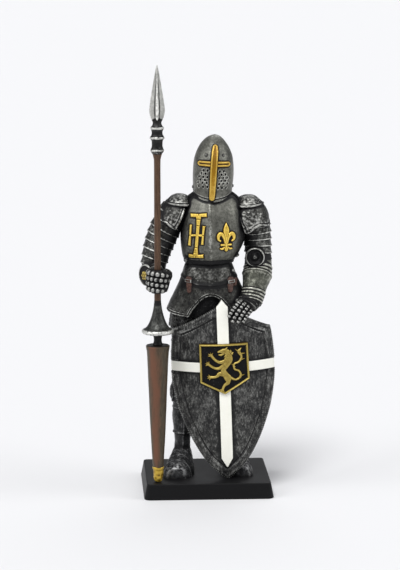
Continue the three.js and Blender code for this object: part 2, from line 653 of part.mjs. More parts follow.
// The lance: a turned shaft with guard, cone and ferrule, and a leaf blade. Rows hold the radius
// and the height.
function lanceProfile(grow = 0) {
  const { shaft, guard, cone, foot: base } = LANCE;
  const rows = [
    [base * 0.55, FLOOR], [base * 0.9, 7.6], [base, 12.4], [base * 0.9, 12.7], [base + 0.1, 12.9],
    [3.15, 30.0], [4.4, 59.5], [cone, 62.6], [cone + 0.1, 63.6], [2.1, 64.0], [1.6, 66.0],
    [1.9, 68.0], [guard - 0.5, 68.7], [guard, 69.5], [guard - 0.4, 70.3], [4.1, 72.0], [2.8, 74.8],
    [1.9, 78.2], [shaft, 82.0], [shaft, 139.8], [2.3, 143.0], [2.75, 143.8], [2.35, 144.8],
    [2.35, 147.6], [2.95, 148.7], [2.35, 149.6], [2.35, 151.8], [2.75, 152.7], [1.7, 155.6],
  ].map(([radius, z]) => new THREE.Vector2(radius + grow, z));
  return [new THREE.Vector2(0, rows[0].y), ...rows, new THREE.Vector2(0, rows.at(-1).y)];
}

function turnedLance(grow = 0) {
  const geometry = new THREE.LatheGeometry(lanceProfile(grow), 12);
  geometry.rotateX(Math.PI / 2);
  geometry.translate(LANCE.x, LANCE.y, 0);
  return geometry;
}

function blade() {
  const rows = [
    [153.4, 1.2, 1.1], [155.4, 1.9, 1.35], [157.4, 2.8, 1.3], [159.6, 3.1, 1.2], [165.0, 2.5, 1.0],
    [172.0, 1.3, 0.7], [176.6, 0.45, 0.4], [HEIGHT, 0.08, 0.08],
  ];
  const ring = [[1, 0], [0.45, 0.42], [0.12, 1], [-0.12, 1], [-0.45, 0.42]];
  const section = [...ring, ...ring.map(([a, b]) => [-a, -b])];
  return skin(rows.map(([z, wide, deep]) => (
    section.map(([a, b]) => point(LANCE.x + a * wide, LANCE.y + b * deep, z))
  )));
}

// The plinth: rings of a rounded rectangle, sloping out to the floor
function plinth() {
  const { width, depth, height, slope, corner, soft } = PLINTH;
  const ring = (z, out, radius) => [[1, 1], [-1, 1], [-1, -1], [1, -1]].flatMap(([sx, sy], i) => (
    span(4).map((t) => {
      const angle = (i + t) * (Math.PI / 2);
      return point(
        sx * (width / 2 + out - radius) + radius * Math.cos(angle),
        sy * (depth / 2 + out - radius) + radius * Math.sin(angle), z);
    })
  ));
  return skin([
    ring(0, slope - soft * 0.5, corner), ring(soft * 0.5, slope, corner + 0.2),
    ring(height - soft * 1.2, soft * 0.3, corner), ring(height - soft * 0.3, -soft * 0.3, corner),
    ring(height, -soft, corner - 0.2),
  ]);
}

const knight = join([
  ...helm(), ...cuirass(), ...waist(), ...pauldron(PAULDRON_LEFT), ...pauldron(PAULDRON_RIGHT),
  ...lanceArm(), ...fist(), ...shieldArm(), ...openHand(), ...leg(-1), ...leg(1),
]).subtract(solid(turnedLance(GAP))).subtract(solid(shield(GAP)));

const figurine = new THREE.Group();
figurine.add(
  mesh('plinth', solid(plinth())),
  mesh('knight', knight),
  mesh('shield', join([shield(), ...escutcheon()])),
  mesh('lance', join([turnedLance(), blade()])),
);

export default figurine;
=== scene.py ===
# A painted resin knight with a lance and a tall shield, on a black plinth.
# All shapes are worked out in millimetres in the frame's own axes: the knight faces -Y, +Z is up.
import math

import bpy
import numpy as np
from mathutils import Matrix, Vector


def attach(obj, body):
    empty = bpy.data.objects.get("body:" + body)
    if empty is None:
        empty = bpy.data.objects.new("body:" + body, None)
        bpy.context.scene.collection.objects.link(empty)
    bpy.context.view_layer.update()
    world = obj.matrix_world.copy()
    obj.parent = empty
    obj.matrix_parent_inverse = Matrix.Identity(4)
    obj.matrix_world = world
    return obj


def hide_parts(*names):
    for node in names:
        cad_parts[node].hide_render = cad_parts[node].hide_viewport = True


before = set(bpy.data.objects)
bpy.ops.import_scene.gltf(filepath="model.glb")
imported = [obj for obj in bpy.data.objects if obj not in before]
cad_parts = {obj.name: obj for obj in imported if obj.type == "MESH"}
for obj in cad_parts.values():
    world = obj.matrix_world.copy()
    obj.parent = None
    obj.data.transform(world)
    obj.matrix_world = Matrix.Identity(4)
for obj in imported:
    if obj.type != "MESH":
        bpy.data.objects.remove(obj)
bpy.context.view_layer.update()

TAU = 2 * math.pi
MM = 0.001

# Places and sizes that the pieces share
TOP = 178.0
FLOOR = 6.5
PLINTH = {"width": 51.0, "depth": 43.0, "height": 6.5, "slope": 1.2, "corner": 1.5, "soft": 0.5}
LANCE = {"x": -20.8, "y": -16.9}
SHIELD = {"x": 8.2, "height": 75.4, "lean": 2.15, "bend": 32.0, "thick": 2.0, "border": 3.0}

# Bodies are stacked level sections. Each row holds the height, the centre's x and y, the half
# width, and the depths in front of and behind the centre. A keel holds its x, height and spread.
HELM = {
    "power": 2.15, "keel": (2.3, 0.35, 2.2),
    "rows": [
        (121.2, 2.3, -0.2, 7.6, 9.1, 7.7), (127.0, 2.6, -0.1, 8.1, 9.5, 8.3),
        (132.6, 2.85, 0.1, 8.35, 9.5, 8.6), (138.8, 2.95, 0.3, 7.8, 8.5, 8.0),
        (142.8, 3.0, 0.5, 6.3, 6.6, 6.5), (145.8, 3.1, 0.7, 4.2, 4.3, 4.4),
        (147.4, 3.3, 0.8, 2.2, 2.2, 2.3), (148.1, 3.4, 0.8, 0.3, 0.3, 0.3),
    ],
}
CHEST = {
    "power": 2.3, "keel": (0.9, 0.7, 1.5),
    "rows": [
        (95.2, 0.9, 0.0, 9.6, 8.8, 7.2), (96.4, 1.0, 0.0, 10.4, 9.9, 7.6),
        (100.0, 1.7, 0.0, 11.9, 11.6, 8.2), (105.0, 2.5, 0.0, 13.2, 12.7, 8.9),
        (110.5, 2.6, 0.0, 13.2, 12.5, 9.3), (115.5, 2.6, 0.0, 12.8, 11.4, 9.3),
        (119.5, 2.6, 0.2, 11.8, 9.9, 8.6), (122.5, 2.6, 0.4, 9.8, 8.3, 7.4),
        (124.5, 2.6, 0.4, 7.0, 6.6, 5.8),
    ],
}
FAULD = {
    "power": 2.3, "keel": (0.8, 0.2, 2.5),
    "rows": [
        (96.6, 0.9, 0.0, 8.8, 8.2, 6.8), (94.3, 0.95, 0.0, 9.9, 9.0, 7.5),
        (90.0, 1.1, 0.0, 11.4, 9.8, 8.5), (86.4, 1.25, 0.0, 12.9, 10.3, 9.4),
        (82.0, 1.25, 0.0, 15.0, 10.9, 10.4), (77.0, 1.2, 0.0, 17.2, 11.4, 11.2),
        (74.0, 1.2, 0.0, 17.9, 11.6, 11.4),
    ],
}
MAIL = {
    "power": 2.3, "keel": (1.0, 0.0, 1.0),
    "rows": [
        (90.0, 1.1, 0.0, 10.4, 8.6, 7.4), (82.0, 1.2, 0.0, 13.4, 9.4, 9.2),
        (75.0, 1.1, 0.0, 15.4, 9.5, 10.0), (68.4, 1.0, 0.2, 16.2, 9.0, 10.2),
    ],
}
COLLAR = {
    "power": 2.2, "keel": (2.6, 0.0, 1.0),
    "rows": [
        (117.0, 2.6, 0.3, 12.6, 6.5, 9.8), (120.5, 2.6, 0.3, 12.0, 6.5, 9.5),
        (122.8, 2.6, 0.3, 10.0, 6.4, 8.6), (124.2, 2.6, 0.3, 8.0, 6.0, 7.4),
    ],
}
SEAM = {"front": 86.8, "side": 89.6}
ARCH = {"top": 82.6, "corner": 74.0, "side": 75.8, "half": 0.48}

HIP, KNEE, ANKLE = 75.0, 42.0, 18.0
LEG_LEFT = [
    (75.0, -6.8, 0.3, 6.6, 7.0, 7.4), (66.0, -8.0, 0.0, 6.3, 6.8, 7.2),
    (56.0, -8.7, -0.6, 5.8, 6.1, 6.5), (49.5, -9.0, -1.1, 5.1, 5.3, 5.3),
    (42.0, -9.4, -1.5, 5.1, 6.3, 4.6), (36.0, -9.5, -0.9, 4.4, 4.8, 4.8),
    (30.0, -9.6, -0.2, 4.6, 4.3, 5.7), (24.5, -9.7, 0.4, 3.8, 3.9, 4.6),
    (21.0, -9.9, 0.7, 3.3, 3.7, 3.8), (15.0, -10.1, 0.9, 3.4, 4.0, 4.0),
]
LEG_RIGHT_SHIFT = {"hip": 1.9, "ankle": 0.7, "back": 2.0}
GREAVE_RIM = 23.4
FOOT = [
    (-6.9, 0.5, 2.4, 4.6), (-5.6, 0.4, 3.7, 8.2), (-3.0, 0.3, 4.3, 12.0), (0.5, 0.0, 4.7, 13.2),
    (4.5, -0.9, 5.4, 10.2), (8.5, -2.0, 5.9, 7.6), (11.5, -2.8, 5.4, 6.1), (13.4, -3.1, 3.9, 4.6),
    (14.2, -3.3, 1.9, 2.8),
]

# Limbs run along smooth paths. Each row holds the position along it, the point, and the half
# sizes across and in depth.
UPPER_ARM_LEFT = [
    (0.0, -12.6, 0.6, 118.0, 5.6, 6.4), (0.35, -17.0, 0.8, 109.0, 6.2, 6.2),
    (0.7, -20.1, 0.7, 101.0, 5.7, 5.6), (1.0, -22.0, 0.5, 93.5, 4.9, 5.0),
]
UPPER_ARM_RIGHT = [
    (0.0, 18.0, 0.6, 118.4, 5.4, 6.4), (0.35, 20.2, 0.9, 110.5, 5.9, 6.2),
    (0.7, 21.3, 0.9, 103.0, 5.4, 5.6), (1.0, 21.6, 0.4, 96.0, 5.2, 5.2),
]
FOREARM_RIGHT = [
    (0.0, 21.6, 0.8, 98.0, 5.2, 5.2), (0.3, 21.2, -1.0, 91.8, 5.5, 5.3),
    (0.65, 19.8, -4.2, 86.0, 4.9, 4.7), (1.0, 17.6, -7.8, 79.4, 3.9, 3.6),
]
# Shoulder plates: the ellipsoid's centre and radii, and how far the plate reaches from its pole, in
# radians, for directions round the pole in degrees
PAULDRON_LEFT = {
    "centre": (-12.1, 0.0, 113.4), "radii": (7.3, 9.1, 9.2), "side": -1,
    "reach": [
        (-180, 1.2), (-140, 1.15), (-108, 1.0), (-88, 0.87), (-77, 0.92), (-64, 1.13), (-53, 1.31),
        (-43, 1.22), (-14, 1.02), (21, 0.92), (59, 1.02), (85, 1.13), (130, 1.2), (180, 1.2),
    ],
}
PAULDRON_RIGHT = {
    "centre": (18.2, 0.0, 112.6), "radii": (7.8, 9.1, 9.4), "side": 1,
    "reach": [
        (-180, 1.37), (-158, 1.5), (-138, 1.64), (-128, 1.2), (-112, 0.99), (-85, 1.0),
        (-50, 1.12), (0, 1.25), (50, 1.3), (105, 1.33), (142, 1.32), (180, 1.37),
    ],
}


# Working with arrays

def smooth(low, high, value):
    """A rise from 0 at low to 1 at high, level at both ends: 3t squared less 2t cubed."""
    t = np.clip((value - low) / (high - low), 0, 1)
    return t * t * (3 - 2 * t)


def hump(value, centre, half):
    """A bump that is 1 at the centre and falls smoothly to 0 at half away."""
    return 1 - smooth(0, half, np.abs(value - centre))


def mix(a, b, t):
    """The value at share t of the way from a to b."""
    return a + (b - a) * t


def unit(v):
    """Vectors divided by their lengths."""
    return v / np.maximum(np.linalg.norm(v, axis=-1, keepdims=True), 1e-9)


def station(rows, t):
    """The columns of a table of rows at positions t: cubic curves between neighbouring rows, whose
    slope at a row is that of the line between the rows on its two sides."""
    table = np.array(sorted(rows), float)
    keys, columns = table[:, 0], table[:, 1:]
    before, after = np.vstack([table[:1], table[:-1]]), np.vstack([table[1:], table[-1:]])
    slopes = (after[:, 1:] - before[:, 1:]) / (after[:, :1] - before[:, :1])
    t = np.clip(np.asarray(t, float), keys[0], keys[-1])
    i = np.clip(np.searchsorted(keys, t) - 1, 0, len(keys) - 2)
    step = (keys[i + 1] - keys[i])[..., None]
    s = (t - keys[i])[..., None] / step
    return (
        columns[i] * (1 + 2 * s) * (1 - s) ** 2 + slopes[i] * step * s * (1 - s) ** 2
        + columns[i + 1] * s * s * (3 - 2 * s) - slopes[i + 1] * step * s * s * (1 - s)
    )


def curve(rows, count):
    """Rows drawn as one smooth curve of count rows."""
    return station([(i, *row) for i, row in enumerate(rows)], np.linspace(0, len(rows) - 1, count))


def hills(points, size, seed, stretch=(1, 1, 1)):
    """Random hills between -1 and 1: a random value at each corner of a lattice of cubes of the
    given size, joined by smooth steps along the three axes."""
    table = np.random.default_rng(seed).uniform(-1, 1, 4096)
    place = points / (size * np.array(stretch, float))
    base = np.floor(place).astype(np.int64)
    share = place - base
    share = share * share * (3 - 2 * share)
    total = 0
    for corner in np.ndindex(2, 2, 2):
        key = (base + corner) @ np.array([73856093, 19349663, 83492791])
        total = total + table[key & 4095] * np.prod(np.where(corner, share, 1 - share), -1)
    return total


# Surfaces

def around(count, front=0.0):
    """Angles round a ring, from the front at -90 degrees. A share above 0 crowds them in front."""
    turn = np.linspace(0, TAU, count, endpoint=False)
    return -math.pi / 2 + turn - front * np.sin(turn)


def body_point(body, angle, z, swell=0.0):
    """Points of a body's skin: a superellipse in each level section, with its own depth in front
    and behind, and a ridge in front that falls off as a bell curve from the keel."""
    x, y, wide, front, back = np.moveaxis(station(body["rows"], z), -1, 0)
    c, s = np.cos(angle), np.sin(angle)
    power = 2 / body["power"]
    px = x + (wide + swell) * np.sign(c) * np.abs(c) ** power
    keel, high, spread = body["keel"]
    ridge = np.where(s < 0, -s * high * np.exp(-(((px - keel) / spread) ** 2)), 0)
    py = y + (np.where(s < 0, front, back) + swell) * np.sign(s) * np.abs(s) ** power - ridge
    return np.stack(np.broadcast_arrays(px, py, z), -1)


def on_front(body):
    """A function of x and z that gives the point of the body's front there."""
    def place(x, z):
        middle, y, wide, front, _ = np.moveaxis(station(body["rows"], z), -1, 0)
        across = np.minimum(np.abs((x - middle) / wide), 0.999)
        inward = (1 - across ** body["power"]) ** (1 / body["power"])
        keel, high, spread = body["keel"]
        ridge = high * np.exp(-(((x - keel) / spread) ** 2))
        return np.stack(np.broadcast_arrays(x, y - front * inward - ridge, z), -1)
    return place


def to_rim(points, rim):
    """The distance from each point of a grid to the nearest point of a rim."""
    away = np.empty(points.shape[:2])
    for row, ring in zip(away, points):
        row[:] = np.sqrt(((ring[:, None] - rim) ** 2).sum(-1).min(-1))
    return away


def lifted(place, u, v, lift):
    """Points a lift above a surface, along its normal: the cross product of its two slopes."""
    eps = 0.05
    along_u = place(u + eps, v) - place(u - eps, v)
    along_v = place(u, v + eps) - place(u, v - eps)
    return place(u, v) + unit(np.cross(along_u, along_v)) * np.asarray(lift)[..., None]


def outward(points):
    """Normals of a grid of rings: the cross product of its two slopes, turned away from the
    middle of each ring."""
    across = np.roll(points, -1, 1) - np.roll(points, 1, 1)
    normal = unit(np.cross(across, np.gradient(points, axis=0)))
    middle = points.mean(axis=1, keepdims=True)
    return normal * np.sign(np.sum(normal * (points - middle)))


def raised(points, height):
    """A grid of rings moved along its normals by a height."""
    return points + outward(points) * np.broadcast_to(height, points.shape[:2])[..., None]


def limb(rows, t, angle, swell, facing=(0, -1, 0)):
    """Rings round a limb's path: at each position an ellipse square to the path, whose half sizes
    come from the rows and grow by the swell."""
    x_y_z, sizes = np.split(station(rows, t), [3], -1)
    after, before = station(rows, np.minimum(t + 0.02, 1)), station(rows, np.maximum(t - 0.02, 0))
    tangent = unit((after - before)[:, :3])
    across = unit(np.cross(tangent, facing))
    depth = np.cross(across, tangent)
    wide, deep = (sizes[:, k, None] + swell for k in (0, 1))
    return (
        x_y_z[:, None] + across[:, None] * (wide * np.cos(angle))[..., None]
        + depth[:, None] * (deep * np.sin(angle))[..., None]
    )


def dome(centre, radii, pole, reach, rings, sides, up=(0, 0, 1), inset=0.8):
    """Part of an ellipsoid: directions that turn away from the pole by up to the reach, which may
    depend on the way they turn, each cut by the ellipsoid. The last three rings turn in behind the
    rim by the inset."""
    axis = unit(np.array(pole, float))
    across = unit(np.cross(up, axis))
    high = np.cross(axis, across)
    turn = np.linspace(-math.pi, math.pi, sides, endpoint=False)
    tangent = across * np.cos(turn)[:, None] + high * np.sin(turn)[:, None]
    share = np.linspace(0.004, 1, rings)[:, None]
    away = (share * reach(np.degrees(turn)))[..., None]
    direction = axis * np.cos(away) + tangent * np.sin(away)
    points = direction / np.linalg.norm(direction / np.array(radii), axis=-1, keepdims=True)
    behind = [points[-1] * (1 - depth * inset / np.mean(radii)) for depth in (0.4, 1.0, 2.5)]
    return np.concatenate([points, behind]) + np.array(centre)


def stud(at, radius, pole, flat=0.7, sides=24):
    """A round stud, half sunk: an ellipsoid flattened along its pole."""
    axis = unit(np.array(pole, float))
    across = unit(np.cross(axis, (0.2, 0.3, 1.0)))
    high = np.cross(axis, across)
    turn = np.linspace(0, TAU, sides, endpoint=False)[:, None]
    away = np.linspace(0.03, math.pi - 0.03, 15)[:, None, None]
    ring = across * np.cos(turn) + high * np.sin(turn)
    points = ring * np.sin(away) * radius + axis * np.cos(away) * radius * flat
    return skin(points + np.array(at))


# Skins: closed meshes with what their paint needs to know

RELIEF_FULL = 0.09  # a point this far above its surroundings counts as a full edge


def signed_volume(points, faces):
    """Six times the volume inside closed triangles: the sum of a dot (b cross c)."""
    a, b, c = (points[faces[:, k]] for k in (0, 1, 2))
    return np.sum(a * np.cross(b, c))


def proud(points, normal, reach=0.35):
    """How far each point of a grid stands above the mean of the points a short way off on its
    four sides."""
    total = 0
    for axis in (0, 1):
        step = np.linalg.norm(np.diff(points, axis=axis), axis=-1).mean()
        stride = max(1, round(reach / step))
        count = points.shape[axis]
        index = np.arange(count)
        if axis == 1:
            low, high = (index - stride) % count, (index + stride) % count
        else:
            low, high = np.maximum(index - stride, 0), np.minimum(index + stride, count - 1)
        near = (np.take(points, low, axis) + np.take(points, high, axis)) / 2
        total = total + np.sum((points - near) * normal, -1)
    return total


def skin(points, dark=0.0, worn=0.0, share=1.0, zipped=False, paint=0.0):
    """A closed surface over rings of points with equal counts: quads between the rings, and a fan
    round the middle of the first and last ring. A zipped surface joins the two halves of its first
    ring across instead. Its faces are turned outwards by the sign of its volume."""
    rings, sides, _ = points.shape
    normal = outward(points)
    j, k = np.meshgrid(np.arange(rings - 1), np.arange(sides), indexing="ij")
    near, far = j * sides + k, j * sides + (k + 1) % sides
    quads = np.stack([near, far, far + sides, near + sides], -1).reshape(-1, 4)
    flat = points.reshape(-1, 3)
    ends = [0, rings - 1]
    fans = []
    middles = []
    ring = np.arange(sides)
    beside = (ring + 1) % sides
    if zipped:
        half = sides // 2
        left = np.arange(half - 1)
        right = sides - 1 - left
        quads = np.vstack([quads, np.stack([left + 1, left, right, right - 1], -1)])
        fans.append(np.array([[half, half - 1, half + 1]]))
        ends = [rings - 1]
    for end in ends:
        index = len(flat) + len(middles)
        first, second = (beside, ring) if end == 0 else (ring, beside)
        fans.append(np.stack([end * sides + first, end * sides + second, np.full(sides, index)], -1))
        middles.append(points[end].mean(0))
    fans = np.concatenate(fans)
    everything = np.vstack([flat, middles])
    triangles = np.vstack([quads[:, :3], quads[:, [0, 2, 3]], fans])
    if signed_volume(everything - everything.mean(0), triangles) < 0:
        quads, fans = quads[:, ::-1], fans[:, ::-1]
    shape = (rings, sides)
    relief = np.clip(proud(points, normal) / RELIEF_FULL, -1, 1) + np.broadcast_to(worn, shape)
    area = np.linalg.norm(np.cross(
        (np.roll(points, -1, 1) - np.roll(points, 1, 1)) / 2, np.gradient(points, axis=0)), axis=-1)
    pad = (0, len(middles))
    padded = lambda values: np.pad(np.broadcast_to(values, shape).ravel(), pad)
    return {
        "points": everything, "quads": quads, "fans": fans, "share": share,
        "normal": np.vstack([normal.reshape(-1, 3), np.zeros((len(middles), 3))]),
        "area": padded(area), "relief": padded(relief), "dark": padded(dark),
        "paint": padded(paint),
    }


def tile(place, low, high, step, height, floor=-0.5, share=0.8, dark=0.0, worn=0.0):
    """A closed raised patch on a surface: the cells of a plane grid where the height is above 0,
    lifted by that height, over the same cells at the floor, with walls between the two along
    every cell edge that has a kept cell on one side only."""
    u, v = np.arange(low[0], high[0], step), np.arange(low[1], high[1], step)
    u, v = np.meshgrid(u, v, indexing="ij")
    lift = height(u, v)
    kept = np.maximum(np.maximum(lift[:-1, :-1], lift[1:, :-1]),
                      np.maximum(lift[:-1, 1:], lift[1:, 1:])) > 0
    kept[[0, -1]] = kept[:, [0, -1]] = False
    for _ in range(4):  # cells that would touch at a corner only are bridged
        a, b, c, d = kept[:-1, :-1], kept[1:, :-1], kept[:-1, 1:], kept[1:, 1:]
        bridge = (a & d & ~b & ~c) | (b & c & ~a & ~d)
        kept[:-1, :-1] |= bridge
        kept[1:, :-1] |= bridge
    rows, columns = u.shape
    index = np.arange(rows * columns).reshape(rows, columns)
    under = rows * columns
    corner = [index[:-1, :-1], index[1:, :-1], index[1:, 1:], index[:-1, 1:]]
    top = np.stack(corner, -1)[kept]
    wide = np.pad(kept, 1)
    faces = [top, top[:, ::-1] + under]
    sides = [(wide[:-2, 1:-1], 0, 3), (wide[1:-1, :-2], 1, 0), (wide[2:, 1:-1], 2, 1),
             (wide[1:-1, 2:], 3, 2)]
    for beyond, first, second in sides:
        open_side = kept & ~beyond
        a, b = corner[first][open_side], corner[second][open_side]
        faces.append(np.stack([a, b, b + under, a + under], -1))
    quads = np.concatenate(faces)
    upper = lifted(place, u, v, np.maximum(lift, floor / 2))
    lower = lifted(place, u, v, np.full(u.shape, floor))
    points = np.concatenate([upper.reshape(-1, 3), lower.reshape(-1, 3)])
    stride = max(1, round(0.22 / step))
    around_it = [np.roll(lift, s, axis) for axis in (0, 1) for s in (-stride, stride)]
    relief = np.clip((lift - sum(around_it) / 4) * 2 / RELIEF_FULL, -1, 1) + worn
    normal = unit(upper - lower).reshape(-1, 3)
    used, again = np.unique(quads, return_inverse=True)
    quads = again.reshape(quads.shape)
    flags = np.concatenate([np.ones(under), np.zeros(under)])
    both = lambda values: np.tile(np.broadcast_to(values, u.shape).ravel(), 2) * flags
    made = {
        "points": points[used], "quads": quads, "fans": np.zeros((0, 3), int), "share": share,
        "normal": np.tile(normal, (2, 1))[used], "area": both(step * step)[used],
        "relief": both(relief)[used], "dark": both(dark(u, v) if callable(dark) else dark)[used],
        "paint": np.zeros(len(used)),
    }
    triangles = np.vstack([quads[:, :3], quads[:, [0, 2, 3]]])
    if signed_volume(made["points"] - made["points"].mean(0), triangles) < 0:
        made["quads"] = quads[:, ::-1]
    return made


def stroke_distance(u, v, rows, square=False):
    """Signed distance to a stroke through rows of two coordinates and a half width: over its
    straight runs, the least of the distance to the run less the half width there. A square stroke
    is cut off straight at the ends of each run."""
    best = np.full(np.shape(u), 99.0)
    for (u0, v0, half0), (u1, v1, half1) in zip(rows, rows[1:]):
        length = math.hypot(u1 - u0, v1 - v0)
        along = ((u - u0) * (u1 - u0) + (v - v0) * (v1 - v0)) / length
        across = np.abs((u - u0) * (v1 - v0) - (v - v0) * (u1 - u0)) / length
        t = np.clip(along / length, 0, 1)
        half = mix(half0, half1, t)
        if square:
            distance = np.maximum(across - half, np.maximum(-along, along - length))
        else:
            distance = np.hypot(across, along - t * length) - half
        best = np.minimum(best, distance)
    return best


def union(u, v, strokes, square=False):
    """The least distance to any of several strokes."""
    return np.minimum.reduce([stroke_distance(u, v, rows, square) for rows in strokes])


def bevelled(distance, top, soft=0.22):
    """A flat-topped height over the inside of a shape, with soft edges that dip just below the
    surface outside it."""
    return top * smooth(0, soft, -distance) - 0.12 * smooth(0, 0.15, distance)


def ridged(distance, top, half):
    """A round-backed height over the inside of a shape: a quarter ellipse from its edge to half
    inside it."""
    inside = np.clip(-distance / half, 0, 1)
    return top * np.sqrt(1 - (1 - inside) ** 2) - 0.12 * smooth(0, 0.15, distance)


# Great helm

BREATH_PITCH = 1.68
BREATHS = [(133.9, 2.5, 2), (132.6, 3.3, 2), (131.2, 2.45, 3), (130.0, 3.4, 2), (128.8, 2.6, 3),
           (127.2, 2.2, 3)]  # height, distance of the first hole from the cross, count
CROSS_UPRIGHT = [(3.24, 143.3, 1.1), (3.1, 141.6, 1.36), (2.6, 136.7, 1.36), (2.1, 129.0, 1.28),
                 (1.78, 123.6, 1.15), (1.75, 123.1, 1.1)]
CROSS_BAR = [(-2.75, 137.05, 1.12), (2.6, 136.9, 1.16), (8.3, 136.65, 1.12)]
LEFT_BREATHS_LIFT = 0.45  # the holes on the knight's right sit this much higher
SLIT_HALF = 0.2


def helm_dip(angle):
    """Height of the helm's lower edge, which hangs lowest in front."""
    return 123.7 - 2.3 * np.maximum(0, -np.sin(angle)) ** 1.5


def cross_axis(z):
    """The upright's x at a height."""
    return np.interp(z, [122.2, 145.2], [1.66, 3.3])


def helm_skull():
    """Rings round the helm from its dipping edge to its top, with a rolled edge, a groove above it and
    the breath holes pressed in. The wash lies along the cross's outline. The breath holes and the
    turned-in underside of the edge are painted black, as painted shade."""
    angle = around(250, front=0.52)
    share = np.linspace(0, 1, 164)[:, None]
    z = mix(helm_dip(angle), HELM["rows"][-1][0], share)
    points = body_point(HELM, angle, z)
    above = z - helm_dip(angle)
    height = 0.12 * hump(above, 0.35, 0.45) - 0.22 * hump(above, 1.15, 0.35)
    height = height + 0.09 * hump(above, 1.7, 0.4) + 0.05 * hills(points, 3.2, 3)
    height = height + 0.025 * hills(points, 1.1, 4)
    x = points[..., 0]
    trim = np.minimum(stroke_distance(x, z, CROSS_UPRIGHT), stroke_distance(x, z, CROSS_BAR))
    trim = trim + 9 * (points[..., 1] > 0)
    dark = 1.2 * hump(above, 1.15, 0.42) + 0.75 * (1 - smooth(0.1, 0.75, trim))
    holes = np.zeros(trim.shape)
    front = on_front(HELM)
    for row_z, first, count in BREATHS:
        for side in (-1, 1):
            height_here = row_z + LEFT_BREATHS_LIFT * (side < 0)
            for n in range(count):
                hole_x = cross_axis(row_z) + side * (first + n * BREATH_PITCH)
                gap = np.linalg.norm(points - front(np.array(hole_x), np.array(height_here)), axis=-1)
                holes = np.maximum(holes, 1 - smooth(0.36, 0.54, gap))
    height = height - 0.6 * holes
    breathing = hump(z, 130.6, 5.0) * hump(np.abs(x - 2.2), 4.3, 3.0) * (points[..., 1] < 0)
    # painted shade: the breath holes are painted black for the shade inside them
    dark = np.maximum(dark, 2.2 * smooth(0.1, 0.6, holes))
    worn = 0.3 * breathing - 1.2 * smooth(0.0, 0.3, holes) - 0.25 * hump(above, 0.35, 0.6)
    points = raised(points, height)
    under = np.array([[0.5, 0.05], [1.2, 0.5], [1.8, 2.5]])
    turned_in = [body_point(HELM, angle, helm_dip(angle) + up, -inward) for inward, up in under]
    points = np.concatenate([turned_in[::-1], points])
    pad = ((3, 0), (0, 0))
    # painted shade: the turned-in rings under the edge are painted black
    return skin(points, dark=np.pad(dark, pad, constant_values=1.0), worn=np.pad(worn, pad))


def helm_trim():
    """Two studs over the cross's arms and a hinge boss on each side."""
    front = on_front(HELM)
    studs = [stud(front(np.array(x), np.array(z)), 0.55, (0.1 * (x - 3), -1, 0.55), flat=0.5)
             for x, z in ((-0.39, 140.45), (6.46, 140.35))]
    hinges = [stud((x, -0.6, z), 0.75, (side, 0, 0), flat=0.9)
              for x, z, side in ((-5.35, 126.7, -1), (10.55, 127.0, 1))]
    return studs + hinges


def slits(u, v):
    """How much of a point lies in the eye slits, from 0 to 1: a stroke along the cross's arms that
    stops short of its upright."""
    run = stroke_distance(u, v, [(-2.8, 137.05, SLIT_HALF), (8.3, 136.65, SLIT_HALF)])
    return (1 - smooth(-0.06, 0.14, run)) * smooth(1.2, 1.4, np.abs(u - cross_axis(v)))


def helm_cross():
    """The gold cross as a height over the helm's front: a round-backed upright with a faint channel
    down it, over arms that are rims round the eye slits."""
    def height(u, v):
        upright = stroke_distance(u, v, CROSS_UPRIGHT)
        arms = mix(bevelled(stroke_distance(u, v, CROSS_BAR), 0.5, 0.35), 0.06, slits(u, v))
        post = ridged(upright, 0.75, 0.6) - 0.12 * smooth(0.5, 1.1, -upright) * smooth(131, 139, v)
        return np.maximum(arms, post)

    # Painted shade: the eye slits are painted black for the shade inside them.
    def dark(u, v):
        upright = stroke_distance(u, v, CROSS_UPRIGHT)
        outside = np.minimum(upright, stroke_distance(u, v, CROSS_BAR))
        middle = 0.45 * smooth(0.4, 1.0, -upright) * smooth(124, 137, v)
        joint = 0.5 * hump(upright, 0.0, 0.3) * smooth(1.6, 0.8, np.abs(v - 136.9))
        return 1.5 * slits(u, v) + middle + joint + 0.6 * smooth(-0.3, 0.0, outside)
    return tile(on_front(HELM), (-5.2, 120.6), (10.6, 146.8), 0.12, height, floor=-0.8,
                dark=dark)


# Body armour

POTENT_CROSS = [
    [(-6.85, 115.95, 0.8), (-3.6, 116.1, 0.66), (-0.4, 116.35, 0.8)],
    [(-7.6, 99.3, 0.76), (-4.8, 99.3, 0.7), (-1.75, 99.5, 0.8)],
    [(-3.7, 116.2, 1.3), (-3.75, 114.6, 0.9), (-3.95, 112.0, 0.68)],
    [(-3.95, 112.0, 0.68), (-4.7, 103.0, 0.66), (-4.85, 100.8, 0.9)],
    [(-4.85, 101.0, 0.85), (-4.9, 99.4, 1.2)],
    [(-6.75, 112.3, 0.46), (-7.05, 107.9, 0.42), (-7.4, 103.6, 0.56)],
    [(-1.65, 112.0, 0.6), (-2.05, 108.1, 0.46), (-2.35, 104.3, 0.56)],
    [(-7.0, 107.9, 0.5), (-4.4, 108.2, 0.46), (-2.1, 108.1, 0.55)],
]
LILY_AT = (7.35, 107.6)


